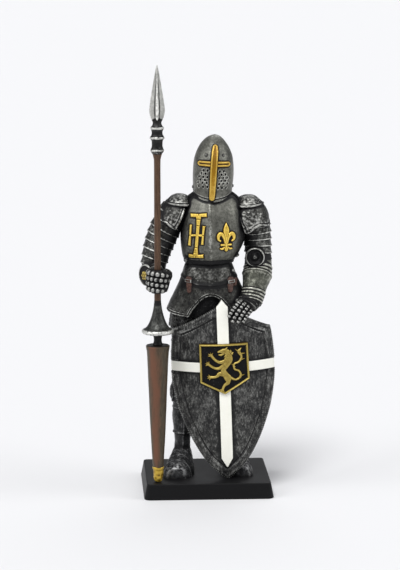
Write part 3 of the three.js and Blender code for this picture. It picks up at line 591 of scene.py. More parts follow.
def lily_strokes():
    """The lily's strokes: a pointed middle petal, two curled side petals, a band and three short
    petals under it."""
    x, z = LILY_AT
    strokes = [curve([(0, 5.6, 0.1), (0, 4.0, 0.8), (0.05, 2.4, 1.2), (0, 0.4, 0.8),
                      (0, -2.2, 0.4)], 12),
               [(0, -2.4, 0.4), (0, -3.8, 0.55)],
               curve([(0, -4.2, 0.55), (0.05, -5.1, 0.85), (0, -6.2, 0.12)], 6),
               [(-2.2, -3.35, 0.45), (2.2, -3.3, 0.45)]]
    for side in (-1, 1):
        strokes.append(curve([(side * 0.9, -4.3, 0.34), (side * 1.7, -5.0, 0.5),
                              (side * 2.6, -4.9, 0.34)], 6))
        strokes.append(curve([(side * 0.45, -2.6, 0.4), (side * 0.8, -0.9, 0.5),
                              (side * 1.65, 0.75, 0.7), (side * 2.8, 1.15, 0.8),
                              (side * 3.6, 0.2, 0.7), (side * 3.55, -1.1, 0.5),
                              (side * 2.75, -1.7, 0.4)], 16))
    return [[(x + 0.88 * u, z + v, half) for u, v, half in rows] for rows in strokes]


def cuirass():
    """Rings round the breast and back plates, with a groove down the back, a rolled lower edge, a
    turned neck edge and slow dents. The wash lies round the charges, painted shade darkens the flanks
    by the arms and the lower edge, and a painted highlight of broken silver runs down the keel."""
    angle = around(210, front=0.3)
    z = np.linspace(95.2, 124.5, 118)[:, None]
    points = body_point(CHEST, angle, z)
    x, front = points[..., 0], points[..., 1] < 0
    back = hump(x, 2.6, 1.1) * ~front
    height = 0.25 * hump(z, 95.9, 0.6) - 0.18 * hump(z, 97.2, 0.45) - 0.5 * back
    height = height + 0.07 * hills(points, 4.5, 11) + 0.035 * hills(points, 1.4, 12)
    charges = np.minimum(union(x, z, POTENT_CROSS, square=True), union(x, z, lily_strokes()))
    outline = (1 - smooth(0.05, 0.75, charges)) * front
    # painted shade: the lower edge and the flanks by the arms are darkened for the shade there, beside the
    # wash round the charges
    dark = 1.3 * smooth(99.0, 96.2, z) + 0.85 * smooth(7.5, 12.8, np.abs(x - 1.6)) + 0.8 * outline
    # painted highlight: a broken silver streak down the keel stands for its gleam; the lower edge loses its
    # silver as part of its painted shade
    keel = np.exp(-(((x - CHEST["keel"][0]) / 0.5) ** 2)) * front * hump(z, 108, 8.5)
    return skin(raised(points, height), dark=dark, worn=0.75 * keel - 0.8 * smooth(97.0, 95.8, z))


def edge_wash(distance):
    """Dark paint along the inside of a charge's edge."""
    return 0.65 * smooth(-0.28, -0.02, distance)


def potent_cross():
    """A cross potent of flat bars with flared ends, as one height over the breastplate."""
    inside = lambda u, v: union(u, v, POTENT_CROSS, square=True) - 0.04
    return tile(on_front(CHEST), (-9.6, 97.6), (1.2, 118.0), 0.115,
                lambda u, v: bevelled(inside(u, v), 0.5, 0.34),
                dark=lambda u, v: edge_wash(inside(u, v)))


def lily():
    """The three-petalled lily as round-backed strokes."""
    x, z = LILY_AT
    inside = lambda u, v: union(u, v, lily_strokes())
    return tile(on_front(CHEST), (x - 4.8, z - 7.2), (x + 4.8, z + 6.6), 0.11,
                lambda u, v: ridged(inside(u, v), 0.62, 0.55),
                dark=lambda u, v: edge_wash(inside(u, v)))


def ring_mail(points, pitch=0.95, deep=0.17):
    """Heights of ring mail: staggered rows of small rings, each a raised loop round a hollow. The
    rows run along the grid's two directions, measured in millimetres."""
    along = np.cumsum(np.linalg.norm(np.diff(points, axis=0, prepend=points[:1]), axis=-1), 0)
    across = np.linalg.norm(np.roll(points, -1, 1) - points, axis=-1)
    length = across.sum(1, keepdims=True)
    count = np.round(length.mean() / pitch)
    position = np.cumsum(across, 1) / length * count
    row = along / (pitch * 0.8)
    shift = 0.5 * (np.floor(row) % 2)
    radius = np.hypot((position + shift) % 1 - 0.5, (row % 1 - 0.5) * 0.85)
    return deep * (hump(radius, 0.34, 0.2) - 0.8 * (1 - smooth(0.05, 0.2, radius)))


def mail_collar():
    """Ring mail over the shoulders, between the helm and the shoulder plates."""
    points = body_point(COLLAR, around(220), np.linspace(117.0, 124.2, 60)[:, None])
    lumps = 0.35 * hills(points, 2.2, 21)
    return skin(raised(points, ring_mail(points, 1.1, 0.24) + lumps), worn=-0.1)


def mail_skirt():
    """Ring mail under the skirt plate, with slow folds that deepen towards its hem, and a near-black
    painted shadow under the plate's arch."""
    angle = around(230)
    z = np.linspace(90.0, 68.4, 104)[:, None]
    folds = 0.55 * np.sin(11 * angle + 0.7) * smooth(84, 70, z)
    points = body_point(MAIL, angle, z, folds)
    # painted shadow: the mail in front, under the plate's arch, is darkened and loses its silver
    shaded = smooth(0.55, 0.9, -np.sin(angle)) * smooth(70, 76, z)
    return skin(raised(points, ring_mail(points)), dark=0.8 * shaded, worn=0.35 - 0.6 * shaded)


def rim_bead(away, bead=0.3, groove=0.16):
    """A rounded bead along a rim with a groove inside it, by the distance to the rim."""
    return bead * hump(away, 0.48, 0.5) - groove * hump(away, 1.2, 0.34)


def pauldron(centre, radii, side, reach):
    """A shoulder plate drawn down to a point in front, softly beaten, with a bead and a groove
    along its whole rim."""
    rings, sides = 70, 150
    outline = lambda turn: station(reach, turn)[..., 0]
    points = dome(centre, radii, (side * 0.5, -0.5, 0.7), outline, rings, sides)
    away = to_rim(points[:rings], points[rings - 1])
    beaten = 0.1 * hills(points, 2.4, 31) + 0.055 * hills(points, 0.9, 32)
    height = rim_bead(away) + beaten[:rings] * smooth(0.5, 1.6, away)
    pad = ((0, len(points) - rings), (0, 0))
    return skin(raised(points, np.pad(height, pad)), dark=np.pad(0.8 * hump(away, 1.2, 0.4), pad))


def pauldron_collar(centre, radii, side, reach):
    """The low lame over a shoulder plate, roughly beaten, with a bead and a groove along its rim."""
    x, y, z = centre
    wide, deep, high = radii
    rings = 50
    points = dome((x - side, y + 0.2, z + 3.3), (wide * 0.9, deep * 0.95, high * 0.78),
                  (-side * 0.06, -0.1, 1), lambda turn: np.full(len(turn), 1.1), rings, 110,
                  up=(0, 1, 0))
    away = to_rim(points[:rings], points[rings - 1])
    beaten = 0.14 * hills(points, 1.7, 33) + 0.06 * hills(points, 0.8, 34)
    height = rim_bead(away) + beaten[:rings] * smooth(0.5, 1.3, away)
    pad = ((0, len(points) - rings), (0, 0))
    return skin(raised(points, np.pad(height, pad)), dark=np.pad(0.8 * hump(away, 1.2, 0.4), pad))


def lame_steps(t, count, flare, edge=0.12):
    """The swell of overlapping lames: each grows to its lower edge, which is rolled, and then
    steps back in."""
    share = (t * count) % 1
    return flare * share ** 1.6 + edge * hump(share, 0.9, 0.1)


def upper_arm(rows, side, count=8):
    """An arm of lames whose edges rise towards the outer side, with painted shade on the side by the
    body and silver on the lame edges that grows towards the outer side as a painted highlight.
    """
    t = np.linspace(0, 1, 150)
    angle = np.linspace(0, TAU, 84, endpoint=False)
    tilt = t[:, None] + 0.02 * np.cos(angle) * side
    swell = lame_steps(tilt, count, 0.5, 0.14)
    share = (tilt * count) % 1
    points = limb(rows, t, angle, swell)
    points = raised(points, 0.07 * hills(points, 1.2, 41))
    outer = np.sign(rows[-1][1]) * (points[..., 0] - station(rows, t)[:, :1])
    # painted shade on the side by the body, which also loses its silver
    inner = smooth(2.5, -4.0, outer)
    # silver along each lame's lower edge, dry-brushed and brighter towards the outer side as a painted
    # highlight
    edge = 0.5 * hump(share, 0.88, 0.16) * smooth(-2.0, 4.0, outer)
    return skin(points, dark=0.8 * (1 - smooth(0, 0.22, share)) + 0.75 * inner,
                worn=edge - 0.4 * inner)


def round_plate(centre, pole, radius, deep=0.5, painted_highlight_turn=0.0):
    """A dished elbow plate: rings out from the centre, with a boss, a hollow and a raised rim. The
    hollow is darkened by the wash; a painted highlight lies on the rim, brightest at one turn, and
    the hollow is painted lighter towards that turn and darker away from it, as painted light and shade."""
    axis = unit(np.array(pole, float))
    across = unit(np.cross((0, 0, 1), axis))
    high = np.cross(axis, across)
    share = np.linspace(0.01, 1, 44)[:, None]
    turn = np.linspace(0, TAU, 90, endpoint=False)
    lift = (0.4 * (1 - smooth(0.1, 0.36, share)) - 0.7 * hump(share, 0.56, 0.36)
            + 0.55 * hump(share, 0.91, 0.12)) * deep * 2
    flat = share * radius
    points = (np.array(centre) + across * (flat * np.cos(turn))[..., None]
              + high * (flat * np.sin(turn))[..., None] + axis * (lift + 0 * turn)[..., None])
    back = [points[-1] - axis * 0.5, points[-1] - axis * 1.2, mix(points[-1], centre, 0.4) - axis * 2.2]
    points = np.concatenate([points, np.array(back)])
    # painted light: facing is 1 at the painted highlight's turn and -1 opposite it
    facing = np.cos(turn - painted_highlight_turn)
    dark = 1.1 * smooth(0.84, 0.7, share) * smooth(0.0, 0.3, share) - 0.35 * facing * hump(share, 0.5, 0.4)
    worn = (0.45 * facing + 0.1) * hump(share, 0.92, 0.14)
    pad = ((0, 3), (0, 0))
    return skin(points, dark=np.pad(dark, pad), worn=np.pad(worn, pad))


def rosette(centre, pole, radius):
    """A small six-petalled flower: a disc whose rim and lift wave six times round."""
    axis = unit(np.array(pole, float))
    across = unit(np.cross((0, 0, 1), axis))
    high = np.cross(axis, across)
    share = np.linspace(0.01, 1, 26)[:, None]
    turn = np.linspace(0, TAU, 72, endpoint=False)
    petals = 1 + 0.12 * np.cos(6 * turn)
    lift = 0.75 * np.sqrt(np.clip(1 - share ** 2, 0, 1)) + 0.12 * np.cos(6 * turn) * share
    lift = lift - 0.28 * hump(share, 0.42, 0.14)
    flat = share * radius * petals
    points = (np.array(centre) + across * (flat * np.cos(turn))[..., None]
              + high * (flat * np.sin(turn))[..., None] + axis * lift[..., None])
    points = np.concatenate([points, (points[-1] - axis * 0.8)[None]])
    return skin(points, dark=np.vstack([0.8 * hump(share, 0.42, 0.16), [[0]]]))


def elbow_cup():
    """The pointed cup behind the lance arm's elbow."""
    rings = 44
    points = dome((-22.6, 0.5, 91.5), (4.6, 5.4, 5.3), (-0.9, 0.25, -0.2),
                  lambda turn: np.full(len(turn), 1.5), rings, 70)
    away = to_rim(points[:rings], points[rings - 1])
    height = rim_bead(away, 0.28) + 0.06 * hills(points[:rings], 1.5, 51)
    pad = ((0, len(points) - rings), (0, 0))
    return skin(raised(points, np.pad(height, pad)), dark=np.pad(0.7 * hump(away, 1.2, 0.4), pad))


FOREARM_BESIDE_DISC = [
    (0.0, -22.2, 1.6, 91.9, 4.2, 4.4), (0.4, -21.4, -3.6, 91.4, 3.3, 4.2),
    (0.8, -21.1, -9.0, 90.8, 3.2, 3.7), (1.0, -20.8, -13.0, 90.4, 3.3, 4.3),
]


def forearm_left():
    """The lance arm's forearm, foreshortened, with banded edges, and slim beside the elbow's disc."""
    t = np.linspace(0, 1, 110)
    angle = np.linspace(0, TAU, 80, endpoint=False)
    swell = lame_steps(t, 4, 0.35)[:, None]
    points = limb(FOREARM_BESIDE_DISC, t, angle, swell + 0 * angle, facing=(0, 0, 1))
    return skin(points, dark=0.5 * (1 - smooth(0, 0.25, (t * 4) % 1))[:, None])


def forearm_right():
    """The shield arm's forearm: elbow bands, a smooth plate with an arched upper edge, and a cuff of
    thin slanted rings."""
    t = np.linspace(0, 1, 170)
    angle = np.linspace(0, TAU, 84, endpoint=False)
    arched = t[:, None] + 0.05 * np.sin(angle)
    bands = 0.4 * (hump(arched, 0.25, 0.04) + hump(arched, 0.33, 0.04))
    plate = 0.5 * smooth(0.385, 0.4, arched) * (1 - smooth(0.4, 0.7, arched))
    rim = 0.22 * hump(arched, 0.415, 0.03)
    slanted = t[:, None] - 0.02 * np.cos(angle)
    cuff = 0.3 * smooth(0.76, 0.78, slanted) + 0.3 * smooth(0.8, 1.0, slanted)
    places = (0.79, 0.85, 0.91, 0.97)
    rings = 0.2 * sum(hump(slanted, place, 0.03) for place in places)
    points = limb(FOREARM_RIGHT, t, angle, 0.2 + bands + plate + rim + cuff + rings)
    points = raised(points, 0.05 * hills(points, 1.4, 61))
    # wash in the grooves between the bands and rings, and painted shade on the side towards the body
    dark = (0.9 * (hump(arched, 0.29, 0.03) + hump(arched, 0.375, 0.03) + hump(arched, 0.2, 0.04))
            + 0.7 * sum(hump(slanted, place - 0.03, 0.025) for place in places)
            + 0.5 * smooth(0.0, -4.5, points[..., 0] - station(FOREARM_RIGHT, t)[:, :1]))
    worn = 0.25 * hump(arched, 0.45, 0.14) + 0.1 * (hump(arched, 0.25, 0.05) + hump(arched, 0.33, 0.05))
    return skin(points, dark=dark, worn=worn)


def finger(rows, beads, seed, outer=0.0, facing=(0.1, 0.2, 1), gaps=0.9):
    """A finger of beaded plates: its width swells once for each bead. Silver lies along its ridge on
    the outer side, most on the tops of the beads, dry-brushed and partly a painted highlight; the
    side away from it is darkened as painted shade."""
    t = np.linspace(0, 1, 12 * beads)
    angle = np.linspace(0, TAU, 22, endpoint=False)
    wave = (np.abs(np.sin(math.pi * beads * t)) ** 0.9)[:, None]
    ridge = np.cos(angle - outer)
    points = limb(rows, t, angle, 0.42 * wave * (0.75 + 0.25 * ridge) - 0.3, facing)
    patchy = 0.5 * hills(points, 0.9, seed + 20)
    # the silver on the bead tops of the outer side is partly a painted highlight; the far side gets painted
    # shade
    top = smooth(0.45, 1.0, wave) * smooth(0.35, 1.0, ridge)
    return skin(raised(points, 0.04 * hills(points, 0.5, seed)), worn=1.1 * top - 0.45 + patchy * top,
                dark=gaps * (1 - smooth(0.3, 0.85, wave)) + 0.6 * (1 - smooth(0.2, 0.8, ridge)))


KNUCKLES = [(12.1, -14.4, 80.5), (14.0, -14.2, 79.6), (15.9, -13.4, 78.6), (17.8, -12.2, 77.5)]
FINGERTIPS = [(8.0, -17.4, 75.0), (9.3, -17.8, 72.8), (11.5, -17.7, 72.6), (13.7, -17.2, 72.7)]


def open_hand():
    """The hand on the shield's edge: a back plate of lames and four beaded fingers."""
    t = np.linspace(0, 1, 60)
    angle = np.linspace(0, TAU, 64, endpoint=False)
    rows = [(0, 18.4, -7.2, 80.4, 3.9, 3.4), (0.5, 16.8, -9.8, 79.8, 4.3, 2.6),
            (1, 15.4, -12.6, 79.2, 4.4, 1.7)]
    steps = lame_steps(t, 3, 0.3)[:, None] + 0 * angle
    shells = [skin(limb(rows, t, angle, steps, facing=(0.3, -0.3, 1)), dark=0.45, worn=-0.3)]
    for n, ((x, y, z), (tip_x, tip_y, tip_z)) in enumerate(zip(KNUCKLES, FINGERTIPS)):
        path = [(0, x + 1.4, y + 2.2, z + 0.2, 0.9, 0.95), (0.35, x - 0.2, y - 1.1, z - 0.2, 0.95, 1.0),
                (0.7, mix(x, tip_x, 0.6), mix(y, tip_y, 0.85), mix(z, tip_z, 0.5), 0.88, 0.95),
                (1, tip_x, tip_y, tip_z, 0.7, 0.75)]
        shells.append(finger(path, 8, 71 + n, outer=0.5 * math.pi, facing=(0.2, -0.9, 0.5), gaps=0.45))
    return shells


FIST = {"x": -20.3, "reach": 4.05, "top": 93.5, "pitch": 2.18, "slope": 0.15}


def fist():
    """The fist round the lance: four beaded fingers bent round it one above the other, each an
    arc that starts behind on the outer side and ends nearer for the lower ones, a palm painted black
    as painted shade between the fingers, a plate over the back of the hand, and the thumb."""
    shells = []
    for n, end in enumerate((-8, -18, -34, -52)):
        rows = []
        reach = FIST["reach"] - 0.12 * n
        for t in np.linspace(0, 1, 9):
            turn = math.radians(mix(-215, end, t))
            x = FIST["x"] - 0.12 * n + reach * math.cos(turn)
            drop = FIST["slope"] * (x - FIST["x"])
            rows.append((t, x, LANCE["y"] + 0.3 + (reach - 0.3) * math.sin(turn),
                         FIST["top"] - FIST["pitch"] * n - drop, 1.15, 1.1))
        length = math.radians(end + 215) * reach
        shells.append(finger(rows, round(length / 1.75), 85 + n, facing=(0, 0, 1)))
    angle = np.linspace(0, TAU, 60, endpoint=False)
    t = np.linspace(0, 1, 40)
    palm = [(0, -20.3, -16.6, 85.6, 2.6, 2.6), (0.2, -20.3, -16.6, 86.4, 3.4, 3.4),
            (0.6, -19.7, -16.4, 90.5, 4.0, 3.7), (0.92, -19.3, -16.2, 94.2, 3.6, 3.4),
            (1, -19.3, -16.2, 95.0, 2.8, 2.8)]
    # painted shade: the palm is painted black for the shade between the fingers
    shells.append(skin(limb(palm, t, angle, np.zeros((40, 1))), dark=1.0))
    back = [(0, -20.8, -9.6, 90.6, 3.8, 4.7), (0.4, -22.4, -12.6, 90.4, 2.9, 4.7),
            (1, -24.0, -16.4, 90.2, 1.3, 4.2)]
    steps = lame_steps(t, 4, 0.3)[:, None] + 0 * angle
    shells.append(skin(limb(back, t, angle, steps, facing=(0, 0, 1)), dark=0.3, worn=-0.2))
    thumb = [(0, -17.2, -11.0, 89.6, 1.7, 1.7), (0.4, -16.3, -14.6, 92.0, 1.75, 1.75),
             (0.75, -16.7, -18.3, 94.0, 1.4, 1.4), (1, -18.6, -20.2, 94.7, 1.05, 1.05)]
    shells.append(finger(thumb, 6, 91, outer=0.4))
    return shells


# Waist and skirt

def seam(angle):
    """Height of the waist plate's lower edge, lower in front than at the hips."""
    return mix(SEAM["side"], SEAM["front"], np.abs(np.sin(angle)) ** 2)


def hem(angle):
    """Height of the skirt plate's lower edge: an arch in front, then a slow rise to the sides."""
    turned = np.abs(np.arctan2(np.cos(angle), -np.sin(angle)))
    inside = np.minimum(turned / ARCH["half"], 1)
    outside = np.clip((turned - ARCH["half"]) / (math.pi / 2 - ARCH["half"]), 0, 1)
    return mix(mix(ARCH["top"], ARCH["corner"], inside ** 2), ARCH["side"], outside)


def waist_plate():
    """The plate round the waist, from under the cuirass to its seam, with a rolled lower edge that is
    dull in front. Painted shade darkens its top under the cuirass and the underside of its edge, the
    shield arm's painted shadow darkens it towards positive x, and it has a dark patch in the middle
    and more silver towards negative x."""
    angle = around(190, front=0.2)
    share = np.linspace(0, 1, 64)[:, None]
    z = mix(96.4, seam(angle), share)
    points = body_point(FAULD, angle, z)
    left = z - seam(angle)
    height = 0.2 * smooth(1.6, 0.3, left) + 0.05 * hump(left, 0.35, 0.35)
    height = height + 0.06 * hills(points, 3.0, 91) + 0.03 * hills(points, 1.0, 92)
    points = raised(points, height)
    under = [body_point(FAULD, angle, seam(angle) - 0.15, 0.05), body_point(FAULD, angle, seam(angle), -1.0)]
    points = np.concatenate([points, under])
    x = points[:-2, :, 0]
    front = smooth(0.3, 0.9, -np.sin(angle))
    centre_dark_patch = 0.5 * hump(x, 1.6, 3.0) * hump(z, 91.5, 4.5) * front
    # painted shade under the cuirass's edge, and the shield arm's painted shadow towards positive x
    dark = 1.1 * smooth(92.8, 95.6, z) + centre_dark_patch + 0.4 * smooth(9.0, 12.0, x) * front
    worn = 0.25 * hump(x, -5.0, 4.0) * front - 0.6 * smooth(0.9, 0.2, left) * hump(x, 1.0, 6.5) * front
    pad = ((0, 2), (0, 0))
    # painted shade: the rings under the edge are painted black
    return skin(points, dark=np.pad(dark, pad, constant_values=1.0), worn=np.pad(worn, pad))


def skirt_plate():
    """The flared skirt plate, from under the waist plate to its arched hem, with a doubled rim that
    follows the hem. A black patch lies beside the strap at negative x; painted shadows lie under the
    waist plate's edge and towards positive x, where the shield arm casts one, and the rings under the
    hem are painted black as painted shade."""
    angle = around(290, front=0.5)
    share = np.linspace(0, 1, 92)[:, None]
    z = mix(seam(angle) + 1.2, hem(angle), share)
    base = body_point(FAULD, angle, z)
    turn = around(300, front=0.45)
    near = to_rim(base, body_point(FAULD, turn, hem(turn)))
    height = (0.24 * hump(near, 0.28, 0.3) - 0.14 * hump(near, 0.72, 0.24)
              + 0.12 * hump(near, 1.12, 0.24) - 0.06 * hump(near, 1.5, 0.25))
    height = height + 0.07 * hills(base, 2.6, 93) + 0.035 * hills(base, 0.9, 94)
    points = raised(base, height)
    under = [body_point(FAULD, angle, hem(angle), 0.0), body_point(FAULD, angle, hem(angle) + 0.1, -1.1)]
    points = np.concatenate([points, under, [body_point(FAULD, angle, hem(angle) + 3.0, -1.6)]])
    x, front = base[..., 0], smooth(0.0, 0.5, -np.sin(angle))
    # a black patch beside the strap at negative x, and the shield arm's painted shadow towards positive x
    beside = (1.1 * hump(x, -10.0, 1.9) + 0.9 * smooth(9.6, 12.0, x)) * hump(z, 87.0, 4.2) * front
    # painted shadow under the waist plate's rolled edge
    shadow_under_seam = 1.0 * smooth(1.6, 0.2, seam(angle) - z)
    dark = shadow_under_seam + 0.8 * hump(near, 0.72, 0.26) + beside + 0.45 * smooth(9.0, 13.5, x) * front
    return skin(points, dark=np.pad(dark, ((0, 3), (0, 0)), constant_values=1.0))


def skirt_rivets():
    """Six studs along the arch of the skirt plate."""
    front = on_front(FAULD)
    return [stud(front(np.array(x), np.array(z)), 0.42, (0.03 * x, -1, 0.1), sides=16)
            for x, z in ((-7.5, 79.8), (-5.5, 83.1), (-2.4, 85.4), (4.4, 85.4), (7.6, 83.0), (9.4, 79.6))]


def strap(x, low, high, half):
    """A leather strap down the front of the skirt: a thick strip that bulges over its buckle and
    narrows to a rounded tongue."""
    rows = [(x + 0.05, high, half * 1.1), (x, mix(low, high, 0.55), half), (x - 0.05, low + 0.6, half * 0.8)]
    def height(u, v):
        inside = bevelled(stroke_distance(u, v, rows), 0.85, 0.4)
        crease = 0.3 * hump(v, mix(low, high, 0.62), 0.35) + 0.12 * np.cos(v * 4.1 + u * 1.3)
        edge = 0.16 * hump(stroke_distance(u, v, rows), -0.25, 0.2)
        return inside * (1 - 0.22 * crease) + edge * (inside > 0.1)
    return tile(on_front(FAULD), (x - 2.6, low - 1.5), (x + 2.6, high + 1.8), 0.12, height)


def strap_buckle(x, z, half):
    """A small oblong frame over a strap."""
    def height(u, v):
        frame_edge = np.maximum(np.abs(u - x) - half - 0.35, np.abs(v - z) - 0.75)
        hole = np.maximum(np.abs(u - x) - half + 0.05, np.abs(v - z) - 0.35)
        return np.where(hole < 0, -0.2, bevelled(frame_edge, 1.15, 0.2))
    return tile(on_front(FAULD), (x - 2.6, z - 1.6), (x + 2.6, z + 1.6), 0.1, height)


def side_buckles():
    """Four buckles at the sides of the waist, each a boss with a smaller knob on it."""
    places = [(CHEST, -149, 97.3), (FAULD, -157, 94.4), (CHEST, -27, 99.1), (FAULD, -31, 92.2)]
    shells = []
    for body, degrees, z in places:
        angle = math.radians(degrees)
        at = body_point(body, np.array(angle), np.array(z))
        pole = (math.cos(angle), math.sin(angle), 0)
        shells.append(stud(at, 1.05, pole, flat=1.0))
        shells.append(stud(at + np.array(pole) * 0.75, 0.55, pole, flat=0.9))
    return shells


# Legs

def leg_rows(side):
    """The rows of one leg. The far leg is the near one's mirror image, moved back."""
    rows = []
    for z, x, y, *sizes in LEG_LEFT:
        down = (HIP - z) / (HIP - ANKLE)
        shift = mix(LEG_RIGHT_SHIFT["hip"], LEG_RIGHT_SHIFT["ankle"], down)
        rows.append((z, shift - x, y + LEG_RIGHT_SHIFT["back"] * down, *sizes) if side > 0
                    else (z, x, y, *sizes))
    return rows


def leg_plates(side):
    """Thigh plate, knee cap and greave as one run of rings with rolled edges where plates meet."""
    body = {"power": 2.1, "rows": leg_rows(side), "keel": (0.0, 0.0, 1.0)}
    angle = around(76)
    z = np.linspace(HIP, 14.0, 210)[:, None]
    points = body_point(body, angle, z)
    edges = [(49.1, 0.5), (37.0, 0.5), (GREAVE_RIM, 0.5), (46.6, 0.25), (39.6, 0.25), (62.0, 0.2),
             (57.5, 0.2), (34.4, 0.22)]
    height = sum(high * smooth(z_edge + 1.3, z_edge + 0.1, z) * (z > z_edge) + 0.3 * high
                 * hump(z, z_edge + 0.35, 0.45) for z_edge, high in edges)
    ridge = 0.35 * hump(angle, -math.pi / 2, 0.28)
    height = height + ridge * (1 - hump(z, KNEE, 6)) + 0.12 * hills(points, 1.8, 101)
    height = height + 0.06 * hills(points, 0.8, 102)
    dark = sum(0.8 * hump(z, z_edge - 0.4, 0.6) for z_edge, _ in edges)
    return skin(raised(points, height), dark=dark + 0 * angle)


def knee_wing(side):
    """The fan-shaped wing on the outer side of the knee: a shallow dome with rays and a rim."""
    x, y = station(leg_rows(side), np.array(KNEE))[:2]
    rings, sides = 30, 72
    points = dome((x + side * 3.7, y + 0.4, KNEE - 1.0), (2.2, 3.8, 4.2), (side, 0, 0),
                  lambda turn: np.full(len(turn), 1.35), rings, sides)
    share = np.linspace(0, 1, rings)[:, None]
    turn = np.linspace(0, TAU, sides, endpoint=False)
    height = 0.25 * hump(share, 0.93, 0.09) + 0.1 * np.cos(9 * turn) * hump(share, 0.55, 0.4)
    pad = ((0, len(points) - rings), (0, 0))
    dark = np.pad(0.6 * hump(share, 0.78, 0.08) + 0 * turn, pad)
    return skin(raised(points, np.pad(height, pad)), dark=dark)


def foot(side):
    """A shoe on a flat sole: half ellipses along the foot, with three slanted lames over the
    instep, a tongue down the middle and a rough toe cap."""
    x, y = station(leg_rows(side), np.array(ANKLE))[:2]
    forward = np.linspace(-6.9, 14.2, 140)[:, None]
    angle = np.linspace(0, TAU, 66, endpoint=False)
    turned, wide, high = np.moveaxis(station(FOOT, forward), -1, 0)
    span, count = (2.2, 9.4), 3
    share = (forward + 0.9 * side * np.cos(angle) - span[0]) / (span[1] - span[0])
    inside = smooth(0.0, 0.05, share) * smooth(1.0, 0.95, share)
    step = (np.clip(share, 0, 0.999) * count) % 1
    swell = 0.4 * inside * (1 - step) ** 1.5
    swell = swell + 0.35 * hump(forward, -4.4, 0.6) + 0.3 * hump(share, 1.06, 0.06)
    tongue = hump(angle, math.pi / 2 + 0.25 * side, 0.55) * smooth(0.5, 3.0, forward) * (share < 1)
    swell = swell + 0.35 * tongue
    lift = np.maximum(0, np.sin(angle)) ** 0.8
    points = np.stack(np.broadcast_arrays(
        x - side * turned + (wide + swell) * np.cos(angle), y - forward,
        FLOOR + 0.02 + (high + swell) * lift), -1)
    bumpy = 0.16 * hills(points, 1.5, 105) + 0.08 * hills(points, 0.7, 106)
    points[..., 2] += bumpy * lift
    # wash along the lame edges and the tongue, and painted shade on the lower sides near the sole
    dark = (0.6 * inside * hump(step, 0.96, 0.16) + 0.7 * hump(tongue, 0.25, 0.25)
            + 0.6 * (np.sin(angle) < 0.3))
    return skin(points, dark=dark, worn=0.35 * smooth(10.0, 12.0, forward) * lift)


# Shield

def shield_outline(count=440):
    """The shield's outline from its tip up the right side, over the top and down the left: two
    smooth runs on each side, set out at even distances."""
    flank = [(0.0, 0.35), (2.2, 3.0), (6.8, 7.7), (12.0, 11.3), (20.0, 15.3), (30.0, 18.9),
             (42.0, 21.1), (52.0, 21.2), (60.0, 20.4), (63.4, 19.8)]
    crest = [(19.8, 63.4), (17.8, 64.2), (13.2, 66.4), (7.6, 69.4), (2.6, 72.4), (0.0, 75.4)]
    v = np.linspace(0, 63.4, 300)
    side = np.column_stack([station(flank, v)[:, 0], v])
    path = np.vstack([side, curve(crest, 80)[1:]])
    along = np.concatenate([[0], np.cumsum(np.linalg.norm(np.diff(path, axis=0), axis=1))])
    even = np.linspace(0, along[-1], count // 2 + 1)
    right = np.column_stack([np.interp(even, along, path[:, k]) for k in (0, 1)])
    left = right[-2::-1] * (-1, 1)
    return np.vstack([right, left])


def shield_point(u, v):
    """A point of the shield's face: the face is bent round its long axis as a cylinder, leans back
    towards its tip, and is turned a little about the direction of view."""
    lean = math.radians(SHIELD["lean"])
    face = -15.7 + 2.3 * (1 - np.minimum(v / 40, 1)) ** 2
    bend = SHIELD["bend"] - np.sqrt(SHIELD["bend"] ** 2 - u * u)
    return np.stack(np.broadcast_arrays(
        SHIELD["x"] + u * math.cos(lean) - v * math.sin(lean), face + bend,
        FLOOR + 0.05 + v * math.cos(lean) + u * math.sin(lean) * 0.6), -1)


CROSS = {"half": 2.3, "bar": 47.4, "bar_half": 1.98, "tip": 4.9, "taper": 4.0}


def cross_distance(u, v):
    """Signed distance to the painted cross: a pointed upright and a bar across it."""
    upright = np.maximum(np.abs(u) - CROSS["half"],
                         (CROSS["tip"] - v) * 0.5 + np.abs(u) * 0.85)
    level = np.abs(v - CROSS["bar"] + 0.004 * u) - CROSS["bar_half"]
    return np.minimum(upright, level)


